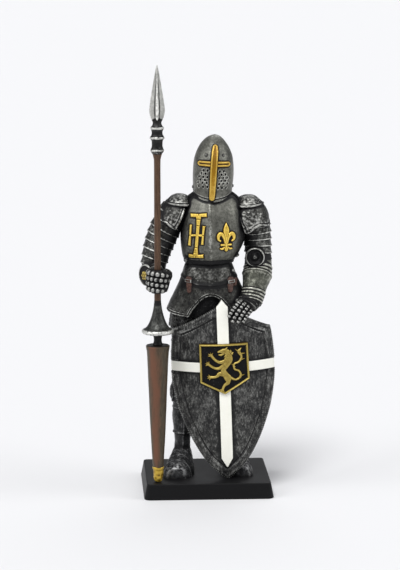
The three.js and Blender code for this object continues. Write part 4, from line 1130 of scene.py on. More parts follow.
def shield_board():
    """Rings from the middle line of the face out to the outline, over its edge, and in behind. The
    face's height depends on the distance to the outline: a raised border with a bevel on each side,
    and a low brushed grain elsewhere, both left out under the painted cross."""
    outline = shield_outline()
    spine = np.column_stack([np.zeros(len(outline)), np.clip(outline[:, 1], 9.0, 66.0)])
    share = np.concatenate([np.linspace(0.006, 0.76, 54), np.linspace(0.765, 1, 48)])
    grid = mix(spine, outline, share[:, None, None])
    inward = to_rim(grid, outline[::2])
    u, v = grid[..., 0], grid[..., 1]
    points = shield_point(u, v)
    border = SHIELD["border"]
    worn = hills(points, 1.5, 111, (1, 1, 3))
    plain = smooth(-0.1, 0.5, cross_distance(u, v))
    border_height = (0.45 * smooth(border + 0.35, border - 0.35, inward + 0.12 * worn)
                     - 0.16 * hump(inward, border + 0.5, 0.45) - 0.14 * hump(inward, 1.5, 0.6)
                     + 0.1 * hump(inward, 0.75, 0.4))
    grain = hills(points, 0.55, 112, (1, 1, 3)) * 0.6 + hills(points, 1.3, 113, (1, 1, 3))
    height = (border_height + 0.05 * grain + 0.03 * worn * (inward < border)) * plain
    height = mix(0.22, height, plain) - 0.42 * (1 - smooth(0.0, 0.6, inward))
    face = lifted(shield_point, u, v, height)
    rim = outline
    towards = unit(spine - outline)
    lip = lifted(shield_point, rim[:, 0], rim[:, 1], np.full(len(rim), -1.0))
    ledge = lifted(shield_point, rim[:, 0], rim[:, 1], np.full(len(rim), -1.8))
    back = []
    for distance in (0.35, 1.2, 3.0, 6.0, 10.0, 14.0):
        reach = np.minimum(distance, 0.97 * np.linalg.norm(spine - outline, axis=1))[:, None]
        inner = outline + towards * reach
        back.append(lifted(shield_point, inner[:, 0], inner[:, 1], np.full(len(inner), -2.0)))
    points = np.concatenate([face, [lip], [ledge], back])
    extra = len(points) - len(face)
    pad = ((0, extra), (0, 0))
    groove = 0.6 * hump(inward, border + 0.55, 0.5) + 0.35 * hump(inward, 1.5, 0.5)
    rough = 0.35 * worn * (hump(inward, 0.7, 0.7) + hump(inward, border - 0.4, 0.6))
    dark = np.pad(groove * plain, pad)
    paint = np.pad(cross_distance(u, v), pad, constant_values=5.0)
    paint[len(face):len(face) + 2] = cross_distance(rim[:, 0], rim[:, 1])
    return zip_both(points, dark, paint, np.pad(rough * plain, pad))


def zip_both(points, dark, paint, worn):
    """The shield's skin: its face and its back both close along the middle line."""
    made = skin(points, dark=dark, paint=paint, worn=worn, zipped=True)
    rings, sides, _ = points.shape
    half = sides // 2
    start = (rings - 1) * sides
    left = np.arange(half - 1)
    right = sides - 1 - left
    strip = np.stack([left, left + 1, right - 1, right], -1) + start
    last = np.array([[half - 1, half, half + 1]]) + start
    middle = len(made["points"]) - 1
    made["fans"] = made["fans"][~(made["fans"] == middle).any(1)]
    first = made["quads"][0]
    forwards = first[1] == (first[0] + 1) % sides
    made["quads"] = np.vstack([made["quads"], strip if forwards else strip[:, ::-1]])
    made["fans"] = np.vstack([made["fans"], last if forwards else last[:, ::-1]])
    for key in ("points", "normal", "area", "relief", "dark", "paint"):
        made[key] = made[key][:-1]
    return made


PLATE = [(-9.75, 57.25), (9.95, 57.3), (10.3, 42.25), (0.05, 36.2), (-9.85, 41.0)]
PLATE_LIFT = 0.6
FRAME = 0.95


def plate_distance(u, v):
    """Signed distance to the five-sided plate: the greatest of the distances to its sides."""
    sides = []
    for (u0, v0), (u1, v1) in zip(PLATE, PLATE[1:] + PLATE[:1]):
        length = math.hypot(u1 - u0, v1 - v0)
        sides.append(((v - v0) * (u1 - u0) - (u - u0) * (v1 - v0)) / length)
    return np.maximum.reduce(sides)


def plate_field():
    """The plate's sunk field, finely pitted."""
    def height(u, v):
        pits = 0.05 * hills(np.stack([u, v, 0 * u], -1), 0.5, 121)
        return np.where(plate_distance(u, v) < -0.4, PLATE_LIFT + pits, -0.2)
    return tile(shield_point, (-10.6, 35.4), (11.0, 58.2), 0.3, height)


def plate_frame():
    """The plate's frame: a rounded rim along its five sides."""
    def height(u, v):
        inside = -plate_distance(u, v)
        band = hump(inside, FRAME / 2, FRAME / 2 + 0.12)
        return np.where(band > 0, 1.25 * band ** 0.5, -0.2) - 0.12 * (inside < 0)
    return tile(shield_point, (-10.9, 35.0), (11.3, 58.6), 0.13, height,
                dark=lambda u, v: 0.7 * smooth(0.25, 0.0, np.minimum(
                    -plate_distance(u, v), FRAME + 0.1 + plate_distance(u, v))))


def lion():
    """A rampant lion of round-backed strokes: a maned head with open jaws, an arched body, four
    clawed legs and a tail that curls back over twice and ends in a tuft."""
    strokes = [
        curve([(1.6, 5.4, 1.0), (1.7, 3.4, 1.5), (0.6, 1.2, 1.25), (-0.3, -0.8, 0.95),
               (0.6, -2.8, 1.15), (1.3, -4.0, 1.3)], 26),
        curve([(1.2, 6.2, 1.1), (0.2, 6.6, 0.95), (-0.9, 6.5, 0.62), (-1.8, 6.3, 0.4)], 12),
        curve([(0.0, 5.6, 0.5), (-0.9, 5.1, 0.4), (-1.6, 5.2, 0.28)], 8),
        [(0.9, 7.3, 0.45), (1.4, 8.1, 0.15)],
    ]
    for angle in (20, 55, 95, 140, 185, 225):  # locks of the mane
        a = math.radians(angle)
        x, z = 1.9 + 1.3 * math.cos(a) * 0.8, 4.9 + 1.5 * math.sin(a)
        strokes.append([(x, z, 0.5), (x + 0.9 * math.cos(a + 0.5), z + 0.9 * math.sin(a + 0.5), 0.12)])
    limbs = [
        [(0.5, 2.6, 0.8), (-1.4, 2.3, 0.62), (-3.0, 3.2, 0.5), (-4.3, 4.9, 0.55)],
        [(0.0, 1.0, 0.75), (-1.9, -0.1, 0.58), (-3.6, 0.2, 0.48), (-5.4, 1.5, 0.5)],
        [(0.4, -2.6, 1.0), (-1.5, -2.2, 0.8), (-2.9, -3.3, 0.52), (-4.9, -3.5, 0.52)],
        [(1.4, -3.6, 1.1), (1.2, -5.6, 0.75), (-0.1, -6.8, 0.5), (-0.8, -8.4, 0.5)],
    ]
    for rows in limbs:
        strokes.append(curve(rows, 20))
        (x0, z0, _), (x, z, _) = rows[-2:]
        ahead = math.atan2(z - z0, x - x0)
        for spread in (-1.15, -0.4, 0.35, 1.1):  # claws
            a = ahead + spread
            strokes.append([(x, z, 0.4), (x + 1.15 * math.cos(a), z + 1.15 * math.sin(a), 0.14)])
    tail = curve([(1.9, -3.6, 0.5), (4.0, -4.6, 0.42), (5.8, -3.4, 0.4), (5.3, -1.4, 0.4),
                  (3.7, -0.5, 0.38), (3.6, 1.4, 0.38), (5.4, 2.3, 0.4), (6.3, 4.2, 0.45),
                  (5.4, 6.2, 0.62), (6.3, 7.5, 0.15)], 50)
    strokes += [tail, [(5.6, -3.2, 0.35), (7.2, -2.9, 0.12)], [(3.7, 0.4, 0.35), (2.7, 1.6, 0.12)],
                [(5.9, 3.0, 0.35), (7.4, 3.3, 0.12)], [(5.6, 5.8, 0.4), (4.1, 7.2, 0.12)],
                [(5.9, 5.2, 0.4), (7.7, 5.4, 0.12)]]
    moved = [[(1.14 * u - 0.1, 1.08 * v + 47.3, 1.15 * half) for u, v, half in rows] for rows in strokes]

    def height(u, v):
        distance = union(u, v, moved)
        body = ridged(distance, 0.62, 0.8)
        return np.where(body > 0, PLATE_LIFT + body, -0.2)
    return tile(shield_point, (-8.6, 37.2), (9.4, 57.4), 0.12, height, floor=0.2,
                dark=lambda u, v: edge_wash(union(u, v, moved)))


# Lance

def turned(rows, count, sides, wobble=0.0, seed=0, stretch=(1, 1, 1), size=2.0):
    """A turned piece: a smooth profile of radius against distance along it, carried round the
    lance's axis, with a slow wobble."""
    profile = curve(rows, count)
    angle = np.linspace(0, TAU, sides, endpoint=False)
    radius, z = profile[:, :1], profile[:, 1:2]
    points = np.stack(np.broadcast_arrays(
        LANCE["x"] + radius * np.cos(angle), LANCE["y"] + radius * np.sin(angle), z), -1)
    if wobble:
        points = raised(points, wobble * hills(points, size, seed, stretch))
    return points


def lance_cone():
    """The long cone under the guard, with shallow streaks along it."""
    rows = [(2.05, 12.6), (2.2, 13.0), (2.65, 20), (3.15, 30.0), (3.78, 45), (4.4, 59.5),
            (4.72, 62.4), (4.84, 63.3), (4.7, 63.8), (4.0, 63.95), (2.0, 64.0)]
    points = turned(rows, 140, 64, 0.05, 131, (1, 1, 9), 1.0)
    turn = np.arctan2(points[..., 1] - LANCE["y"], points[..., 0] - LANCE["x"])
    red = hump(turn, math.radians(-112), 1.0) + 0.25 * hills(points, 1.2, 137, (1, 1, 9))
    # painted shade on the cone's top, under the guard
    dark = smooth(63.6, 63.9, points[..., 2]) + 0 * turn
    return skin(points, paint=red, dark=dark)


def lance_ferrule():
    """The gold cap at the foot: a short barrel beaten into facets, with a lip above."""
    rows = [(0.9, FLOOR + 0.02), (1.45, FLOOR + 0.35), (1.8, 7.8), (2.05, 9.5), (2.15, 11.6), (2.35, 12.2),
            (2.3, 12.9), (1.9, 13.1)]
    points = turned(rows, 60, 60, 0.2, 132, size=1.2)
    return skin(points, dark=0.5 * smooth(0.2, 0.9, -hills(points, 1.2, 132)))


def lance_guard():
    """The hand guard: a bell that runs from the shaft to a thick uneven rim, over a short neck."""
    rows = [(1.5, 63.9), (2.1, 64.1), (1.75, 65.0), (1.6, 66.0), (1.75, 67.4), (2.3, 68.1),
            (4.0, 68.5), (5.9, 68.8), (6.45, 69.3), (6.5, 69.8), (6.15, 70.4), (5.4, 70.7),
            (4.5, 71.5), (3.6, 73.0), (2.85, 74.8), (2.3, 76.6), (1.85, 78.6), (1.5, 81.0), (1.38, 82.5)]
    points = turned(rows, 120, 96)
    radius = np.hypot(points[..., 0] - LANCE["x"], points[..., 1] - LANCE["y"])
    uneven = hills(points, 1.7, 133) * smooth(4.8, 6.0, radius)
    points = raised(points, 0.06 * uneven)
    z = points[..., 2]
    rim = smooth(5.2, 6.2, radius) * hump(z, 69.8, 1.1)
    # painted shade on the neck and the underside of the bell; the rim carries dry-brushed silver
    return skin(points, worn=0.8 * rim - 0.2 * smooth(70.5, 72, z),
                dark=0.9 * smooth(69.3, 68.4, z) + 0.2 * smooth(70.5, 76, z))


def lance_shaft():
    """The shaft between the guard and the blade's socket."""
    rows = [(1.36, 81.0), (1.34, 95), (1.33, 110.0), (1.33, 125.0), (1.33, 138.5), (1.5, 140.6), (2.0, 142.6)]
    return skin(turned(rows, 120, 40, 0.03, 134, (1, 1, 12), 0.8))


def lance_socket():
    """The blade's socket: a waisted tube with three rings."""
    rows = [(1.9, 142.2), (2.35, 142.8), (2.7, 143.4), (2.75, 143.9), (2.45, 144.5), (2.2, 145.6),
            (2.2, 147.2), (2.5, 148.0), (2.93, 148.5), (2.93, 149.0), (2.5, 149.6), (2.2, 150.4),
            (2.2, 151.3), (2.45, 152.0), (2.75, 152.5), (2.7, 153.0), (2.2, 153.5), (1.8, 154.4),
            (1.6, 155.8)]
    points = turned(rows, 110, 60, 0.04, 135, size=0.8)
    z = points[..., 2]
    rings = sum(hump(z, place, 0.7) for place in (143.7, 148.75, 152.7))
    hollow = sum(hump(z, place, 1.3) for place in (146.2, 150.8))
    return skin(points, worn=0.55 * rings, dark=0.65 * hollow)


def lance_blade():
    """The leaf blade: a diamond section with a hollow on each face and a rib down the middle."""
    rows = [(153.0, 1.5, 1.2), (155.0, 1.75, 1.3), (157.0, 2.65, 1.25), (159.4, 3.12, 1.15),
            (162.0, 2.95, 1.05), (166.0, 2.35, 0.95), (171.0, 1.5, 0.75), (175.0, 0.8, 0.5),
            (177.3, 0.3, 0.28), (TOP, 0.06, 0.06)]
    z = np.linspace(153.0, TOP, 110)[:, None]
    wide, deep = np.moveaxis(station(rows, z), -1, 0)
    angle = np.linspace(0, TAU, 72, endpoint=False)
    across = np.cos(angle)
    flat = np.abs(across)
    thick = (1 - flat) ** 1.0 * 0.55 + 0.45 * hump(flat, 0, 0.28)
    thick = np.maximum(thick, 0.05 * (1 - flat ** 6))
    points = np.stack(np.broadcast_arrays(
        LANCE["x"] + wide * across, LANCE["y"] + deep * thick * np.sign(np.sin(angle)), z), -1)
    points = raised(points, 0.035 * hills(points, 0.9, 136, (1, 1, 3)))
    return skin(points, worn=0.3 * smooth(0.78, 0.98, flat) + 0 * z,
                dark=0.3 * hump(flat, 0.3, 0.16) * smooth(156, 159, z) + 0.5 * smooth(156.5, 154.5, z))


# Plinth

def plinth_block():
    """Rings of a rounded rectangle up the block: a softened lower edge, sloping sides and a
    softened upper edge, each edge an arc."""
    size = PLINTH
    arc = np.linspace(0, math.pi / 2, 7)
    low_edge = [(size["slope"] - 0.35 * (1 - math.sin(a)), 0.35 * (1 - math.cos(a))) for a in arc]
    soft = size["soft"]
    high_edge = [(0.1 - soft * (1 - math.cos(a)), size["height"] - soft * (1 - math.sin(a))) for a in arc]
    flat = [(out, size["height"]) for out in (-soft - 0.4, -4.0, -12.0, -20.0)]
    start = [(size["slope"] - 12.0, 0.0), (size["slope"] - 0.8, 0.0)]
    rings = []
    turn = np.linspace(0, math.pi / 2, 12)
    for out, z in start + low_edge + high_edge + flat:
        radius = max(size["corner"] + out, 0.6)
        ring = []
        for quarter, (sx, sy) in enumerate(((1, 1), (-1, 1), (-1, -1), (1, -1))):
            x = sx * (size["width"] / 2 + out - radius) + radius * np.cos(turn + quarter * math.pi / 2)
            y = sy * (size["depth"] / 2 + out - radius) + radius * np.sin(turn + quarter * math.pi / 2)
            ring.append(np.column_stack([x, y, np.full(len(turn), z)]))
        rings.append(np.vstack(ring))
    return skin(np.array(rings))


# Paints

SOCKETS = {"specular": "Specular IOR Level"}


class Paint:
    """A painted finish as a node material. Each method adds a node and gives its output."""

    def __init__(self, name):
        self.material = bpy.data.materials.new(name)
        self.material.use_nodes = True
        tree = self.material.node_tree
        self.nodes, self.links = tree.nodes, tree.links
        self.shader = self.nodes["Principled BSDF"]
        self.place = self.nodes.new("ShaderNodeTexCoord").outputs["Object"]

    def feed(self, socket, value):
        if isinstance(value, bpy.types.NodeSocket):
            self.links.new(value, socket)
        else:
            socket.default_value = value

    def noise(self, size, detail=3.0, rough=0.6, stretch=(1, 1, 1), turn=(0, 0, 0)):
        """Cloudy noise with patches of about size millimetres, drawn out by stretch."""
        mapping = self.nodes.new("ShaderNodeMapping")
        mapping.inputs["Rotation"].default_value = turn
        mapping.inputs["Scale"].default_value = [1 / (size * MM * s) for s in stretch]
        noise = self.nodes.new("ShaderNodeTexNoise")
        noise.inputs["Scale"].default_value = 1.0
        noise.inputs["Detail"].default_value = detail
        noise.inputs["Roughness"].default_value = rough
        self.links.new(self.place, mapping.inputs["Vector"])
        self.links.new(mapping.outputs["Vector"], noise.inputs["Vector"])
        return noise.outputs["Fac"]

    def attribute(self, name):
        node = self.nodes.new("ShaderNodeAttribute")
        node.attribute_name = name
        return node.outputs["Fac"]

    def calc(self, kind, a, b=0.0):
        node = self.nodes.new("ShaderNodeMath")
        node.operation = kind
        self.feed(node.inputs[0], a)
        self.feed(node.inputs[1], b)
        return node.outputs[0]

    def total(self, *terms):
        """The sum of values times weights."""
        whole = None
        for value, weight in terms:
            term = self.calc("MULTIPLY", value, weight)
            whole = term if whole is None else self.calc("ADD", whole, term)
        return whole

    def rise(self, low, high, value):
        """0 below low, 1 above high, and a smooth rise between."""
        node = self.nodes.new("ShaderNodeMapRange")
        node.interpolation_type = "SMOOTHSTEP"
        self.feed(node.inputs["Value"], value)
        node.inputs["From Min"].default_value = low
        node.inputs["From Max"].default_value = high
        return node.outputs["Result"]

    def scale(self, low, high, value):
        """A value between 0 and 1 as one between low and high."""
        node = self.nodes.new("ShaderNodeMapRange")
        self.feed(node.inputs["Value"], value)
        node.inputs["To Min"].default_value = low
        node.inputs["To Max"].default_value = high
        return node.outputs["Result"]

    def blend(self, factor, a, b):
        node = self.nodes.new("ShaderNodeMix")
        node.data_type = "RGBA"
        self.feed(node.inputs[0], factor)
        for socket, colour in ((node.inputs[6], a), (node.inputs[7], b)):
            self.feed(socket, colour if isinstance(colour, bpy.types.NodeSocket) else (*colour, 1))
        return node.outputs[2]

    def bump(self, height, depth, strength=1.0):
        """Fine surface relief from a height of 0 to 1 that stands for depth millimetres."""
        node = self.nodes.new("ShaderNodeBump")
        node.inputs["Strength"].default_value = strength
        node.inputs["Distance"].default_value = depth * MM
        self.links.new(height, node.inputs["Height"])
        self.links.new(node.outputs["Normal"], self.shader.inputs["Normal"])

    def finish(self, colour, roughness, metallic=0.0, **others):
        self.feed(self.shader.inputs["Base Color"], colour)
        self.feed(self.shader.inputs["Roughness"], roughness)
        self.feed(self.shader.inputs["Metallic"], metallic)
        for name, value in others.items():
            self.shader.inputs[SOCKETS[name]].default_value = value
        return self.material


def pewter_paint(name, dark, mid, silver, brushing=0.0, streak=(1, 1, 1.8), metal=0.65, gloss=0.3):
    """Pewter paint: a mottled dark ground, silver dry-brushed over raised edges and grain, in broken
    patches, which also carries the pieces' painted highlights, and near black for the wash and for
    painted shade in the hollows, where pieces meet and where a piece's dark values put it."""
    p = Paint(name)
    cloud, blotch = p.noise(3.2, 3), p.noise(1.1, 3)
    grain, speck = p.noise(0.45, 4, 0.7, streak), p.noise(0.2, 2)
    relief, crowd_wash_and_shade, hollow = p.attribute("relief"), p.attribute("crowding"), p.attribute("dark")
    tone = p.total((cloud, 0.35), (blotch, 0.35), (grain, 0.3))
    ground = p.blend(p.rise(0.36, 0.64, tone), dark, mid)
    edge = p.calc("MULTIPLY", relief, p.scale(0.5, 1.0, p.rise(0.36, 0.6, blotch)))
    dry = p.total((edge, 0.6), (grain, 0.6), (blotch, 0.5), (cloud, 0.4))
    lit = p.blend(p.rise(0.8 - brushing, 1.36 - brushing, dry), ground, silver)
    # the wash term stands for the real wash and for painted shade
    wash = p.total((crowd_wash_and_shade, 1.8), (hollow, 1.0), (relief, -0.5), (grain, -0.5), (cloud, 0.1))
    wash = p.rise(-0.05, 0.65, wash)
    colour = p.blend(wash, lit, (0.0035, 0.0035, 0.004))
    p.bump(p.total((grain, 0.6), (speck, 0.4)), 0.06)
    return p.finish(colour, p.scale(0.34, 0.6, p.total((wash, 0.6), (cloud, 0.4))),
                    p.scale(metal, 0.1, wash), specular=gloss)


def gold_paint(name, bright, deep):
    """Gold paint: bright on the tops, deeper where it lies thin, and dark in the hollows."""
    p = Paint(name)
    cloud, grain = p.noise(1.4, 4), p.noise(0.35, 4)
    relief, hollow = p.attribute("relief"), p.attribute("dark")
    thick = p.rise(0.3, 0.72, p.total((cloud, 0.5), (grain, 0.5), (relief, 0.2), (hollow, -0.6)))
    colour = p.blend(thick, deep, bright)
    worn = p.rise(0.2, 0.85, p.total((hollow, 1.0), (relief, -0.5), (grain, -0.3), (cloud, 0.2)))
    colour = p.blend(worn, colour, (0.035, 0.014, 0.0025))
    p.bump(p.total((grain, 0.6), (cloud, 0.4)), 0.06)
    return p.finish(colour, p.scale(0.36, 0.6, worn), p.scale(0.4, 0.05, worn), specular=0.35)


def shield_paint():
    """Shield paint: near-black with fine upright brush strokes of grey, a black shade beside the
    ivory cross, and the cross itself, slightly uneven along its edges."""
    p = Paint("shield_paint")
    cloud, wood = p.noise(4.5, 3), p.noise(1.0, 3, 0.6, (1, 1, 1.8))
    grain, speck = p.noise(0.34, 3, 0.6, (1, 1, 2.6)), p.noise(0.25, 3)
    relief, crowd_wash_and_shade, hollow = p.attribute("relief"), p.attribute("crowding"), p.attribute("dark")
    cross = p.attribute("paint")
    shade = p.rise(2.2, 0.2, cross)
    tone = p.total((cloud, 0.45), (wood, 0.35), (grain, 0.2), (shade, -0.12))
    ground = p.blend(p.rise(0.38, 0.62, tone), (0.012, 0.012, 0.0125), (0.06, 0.06, 0.057))
    dry = p.total((relief, 0.45), (grain, 0.9), (wood, 0.6), (cloud, 0.5), (shade, -0.25))
    lit = p.blend(p.rise(0.96, 1.5, dry), ground, (0.3, 0.3, 0.285))
    # wash and painted shade where surfaces crowd close and in the grooves
    wash = p.total((crowd_wash_and_shade, 1.5), (hollow, 0.9), (relief, -0.6), (grain, -0.6), (shade, 0.3))
    dark = p.blend(p.rise(-0.1, 0.5, wash), lit, (0.0045, 0.0045, 0.005))
    edge = p.total((cross, 1.0), (speck, 0.16), (wood, 0.1))
    on_cross = p.rise(0.19, 0.09, edge)
    ivory = p.blend(p.rise(0.3, 0.75, p.total((cloud, 0.4), (speck, 0.6))),
                    (0.86, 0.85, 0.76), (0.93, 0.925, 0.86))
    colour = p.blend(on_cross, dark, ivory)
    p.bump(p.total((grain, 0.6), (wood, 0.4)), 0.05)
    return p.finish(colour, p.scale(0.48, 0.42, on_cross), p.scale(0.4, 0.0, on_cross), specular=0.3)


def shaft_paint(name, base, lift, stain, long=10):
    """Brown shaft paint: streaks along the shaft, a warm stain where the paint value says or in
    patches, and painted shade where surfaces crowd close and where the dark values put it."""
    p = Paint(name)
    streaks, cloud = p.noise(0.5, 4, 0.65, (1, 1, long)), p.noise(4.0, 3, 0.5, (1, 1, 2.5))
    speck = p.noise(0.25, 3)
    colour = p.blend(p.rise(0.36, 0.68, p.total((streaks, 0.6), (speck, 0.4))), base, lift)
    warm = p.total((cloud, 0.5), (p.attribute("paint"), 0.35), (streaks, 0.2))
    colour = p.blend(p.rise(0.38, 0.75, warm), colour, stain)
    # painted shade from crowding and the dark values
    wash = p.rise(0.1, 0.8, p.total((p.attribute("crowding"), 0.8), (p.attribute("relief"), -0.5),
                                    (p.attribute("dark"), 1.0)))
    colour = p.blend(wash, colour, (0.012, 0.008, 0.006))
    p.bump(p.total((streaks, 0.7), (speck, 0.3)), 0.05)
    return p.finish(colour, p.scale(0.36, 0.52, streaks), 0.0, specular=0.3)


def leather_paint():
    """Reddish brown strap leather with creases and a dark wash along its edges."""
    p = Paint("leather_paint")
    cloud, grain = p.noise(1.2, 4), p.noise(0.3, 4)
    colour = p.blend(p.rise(0.35, 0.68, p.total((cloud, 0.6), (grain, 0.4))),
                     (0.035, 0.014, 0.01), (0.11, 0.05, 0.036))
    wash = p.rise(0.1, 0.7, p.total((p.attribute("relief"), -0.7), (grain, -0.2), (cloud, 0.3)))
    p.bump(grain, 0.05)
    return p.finish(p.blend(wash, colour, (0.012, 0.006, 0.005)), p.scale(0.42, 0.6, grain), 0.0)


def plinth_paint():
    """Satin black paint with a faint haze and fine dust."""
    p = Paint("plinth_paint")
    cloud, dust = p.noise(9.0, 4), p.noise(0.35, 3)
    colour = p.blend(p.rise(0.62, 0.8, dust), (0.006, 0.006, 0.0065), (0.016, 0.016, 0.017))
    p.bump(p.total((dust, 0.5), (cloud, 0.5)), 0.02, 0.5)
    return p.finish(colour, p.scale(0.42, 0.52, cloud), 0.0, specular=0.13)


# Putting the pieces together

CELL = 0.5  # of the lattice in which crowding is counted
PASSES = 4  # of smoothing
OFFSET = 0.6  # above the surface, where crowding is read


def spread_out(lattice):
    """Smooths a lattice by repeated averages of each cell with its two neighbours, on each axis."""
    for axis in range(3):
        for _ in range(PASSES):
            moved = np.moveaxis(lattice, axis, 0)
            beside = np.zeros_like(moved)
            beside[1:] += moved[:-1]
            beside[:-1] += moved[1:]
            lattice = np.moveaxis(0.5 * moved + 0.25 * beside, 0, axis)
    return lattice


def counted(shells, low, shape):
    """The surface area in each cell of a lattice, smoothed."""
    lattice = np.zeros(int(np.prod(shape)))
    for shell in shells:
        cell = ((shell["points"] - low) / CELL).astype(int)
        flat = np.ravel_multi_index(tuple(np.clip(cell, 0, np.array(shape) - 1).T), shape)
        lattice += np.bincount(flat, shell["area"] * shell["share"], len(lattice))
    return spread_out(lattice.reshape(shape))


def read_lattice(lattice, place):
    """The lattice's value at places in cells, by straight lines between cell centres."""
    place = np.clip(place - 0.5, 0, np.array(lattice.shape) - 1.001)
    base = place.astype(int)
    share = place - base
    total = 0
    for corner in np.ndindex(2, 2, 2):
        index = tuple((base + corner).T)
        total = total + lattice[index] * np.prod(np.where(corner, share, 1 - share), -1)
    return total


def add_crowding(shells):
    """Marks where other surfaces stand close, where the paints darken both for the wash that collects
    there and as painted shade: the smoothed area round a point a little above each surface, less the
    surface's own, as a share of a flat sheet's."""
    margin = CELL * (PASSES + 2)
    corners = np.array([(shell["points"].min(0), shell["points"].max(0)) for shell in shells])
    low = np.floor((corners[:, 0].min(0) - margin) / CELL) * CELL
    size = tuple(np.ceil((corners[:, 1].max(0) + margin - low) / CELL).astype(int))
    whole = counted(shells, low, size)
    sigma = CELL * math.sqrt(PASSES / 2)
    sheet = CELL ** 3 / (math.sqrt(TAU) * sigma) * math.exp(-(OFFSET ** 2) / (2 * sigma ** 2))
    for shell, (own_low, own_high) in zip(shells, corners):
        first = np.floor((own_low - margin - low) / CELL).clip(0).astype(int)
        last = np.minimum(np.ceil((own_high + margin - low) / CELL).astype(int), size)
        own = counted([shell], low + first * CELL, tuple(last - first))
        read = shell["points"] + shell["normal"] * OFFSET
        others = read_lattice(whole, (read - low) / CELL)
        mine = read_lattice(own, (read - low) / CELL - first)
        shell["crowding"] = np.clip((others - mine) / sheet - 0.12, 0, 1.2)


def build(name, shells, material, slot, node):
    """One mesh object from closed shells, in metres, with the paint's values on its points."""
    starts = np.cumsum([0] + [len(shell["points"]) for shell in shells])
    joined = lambda key: np.concatenate([shell[key] for shell in shells])
    quads = np.concatenate([shell["quads"] + at for shell, at in zip(shells, starts)])
    fans = np.concatenate([shell["fans"] + at for shell, at in zip(shells, starts)])
    points = joined("points") * MM
    mesh = bpy.data.meshes.new(name)
    mesh.vertices.add(len(points))
    mesh.vertices.foreach_set("co", points.ravel())
    corners = np.concatenate([quads.ravel(), fans.ravel()]).astype(np.int32)
    mesh.loops.add(len(corners))
    mesh.loops.foreach_set("vertex_index", corners)
    mesh.polygons.add(len(quads) + len(fans))
    mesh.polygons.foreach_set("loop_start", np.concatenate(
        [np.arange(len(quads)) * 4, len(quads) * 4 + np.arange(len(fans)) * 3]).astype(np.int32))
    mesh.polygons.foreach_set("use_smooth", np.ones(len(quads) + len(fans), bool))
    mesh.update(calc_edges=True)
    mesh.set_sharp_from_angle(angle=math.radians(60))
    for key in ("relief", "crowding", "dark", "paint"):
        values = mesh.attributes.new(key, "FLOAT", "POINT")
        values.data.foreach_set("value", joined(key).astype(np.float32))
    mesh.materials.append(material)
    thing = bpy.data.objects.new(name, mesh)
    bpy.context.scene.collection.objects.link(thing)
    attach(thing, "root")
    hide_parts(node)
    return thing


def both_pauldrons(maker):
    """One shell for each shoulder, from the two tables of shoulder plates."""
    return [maker(**PAULDRON_LEFT), maker(**PAULDRON_RIGHT)]


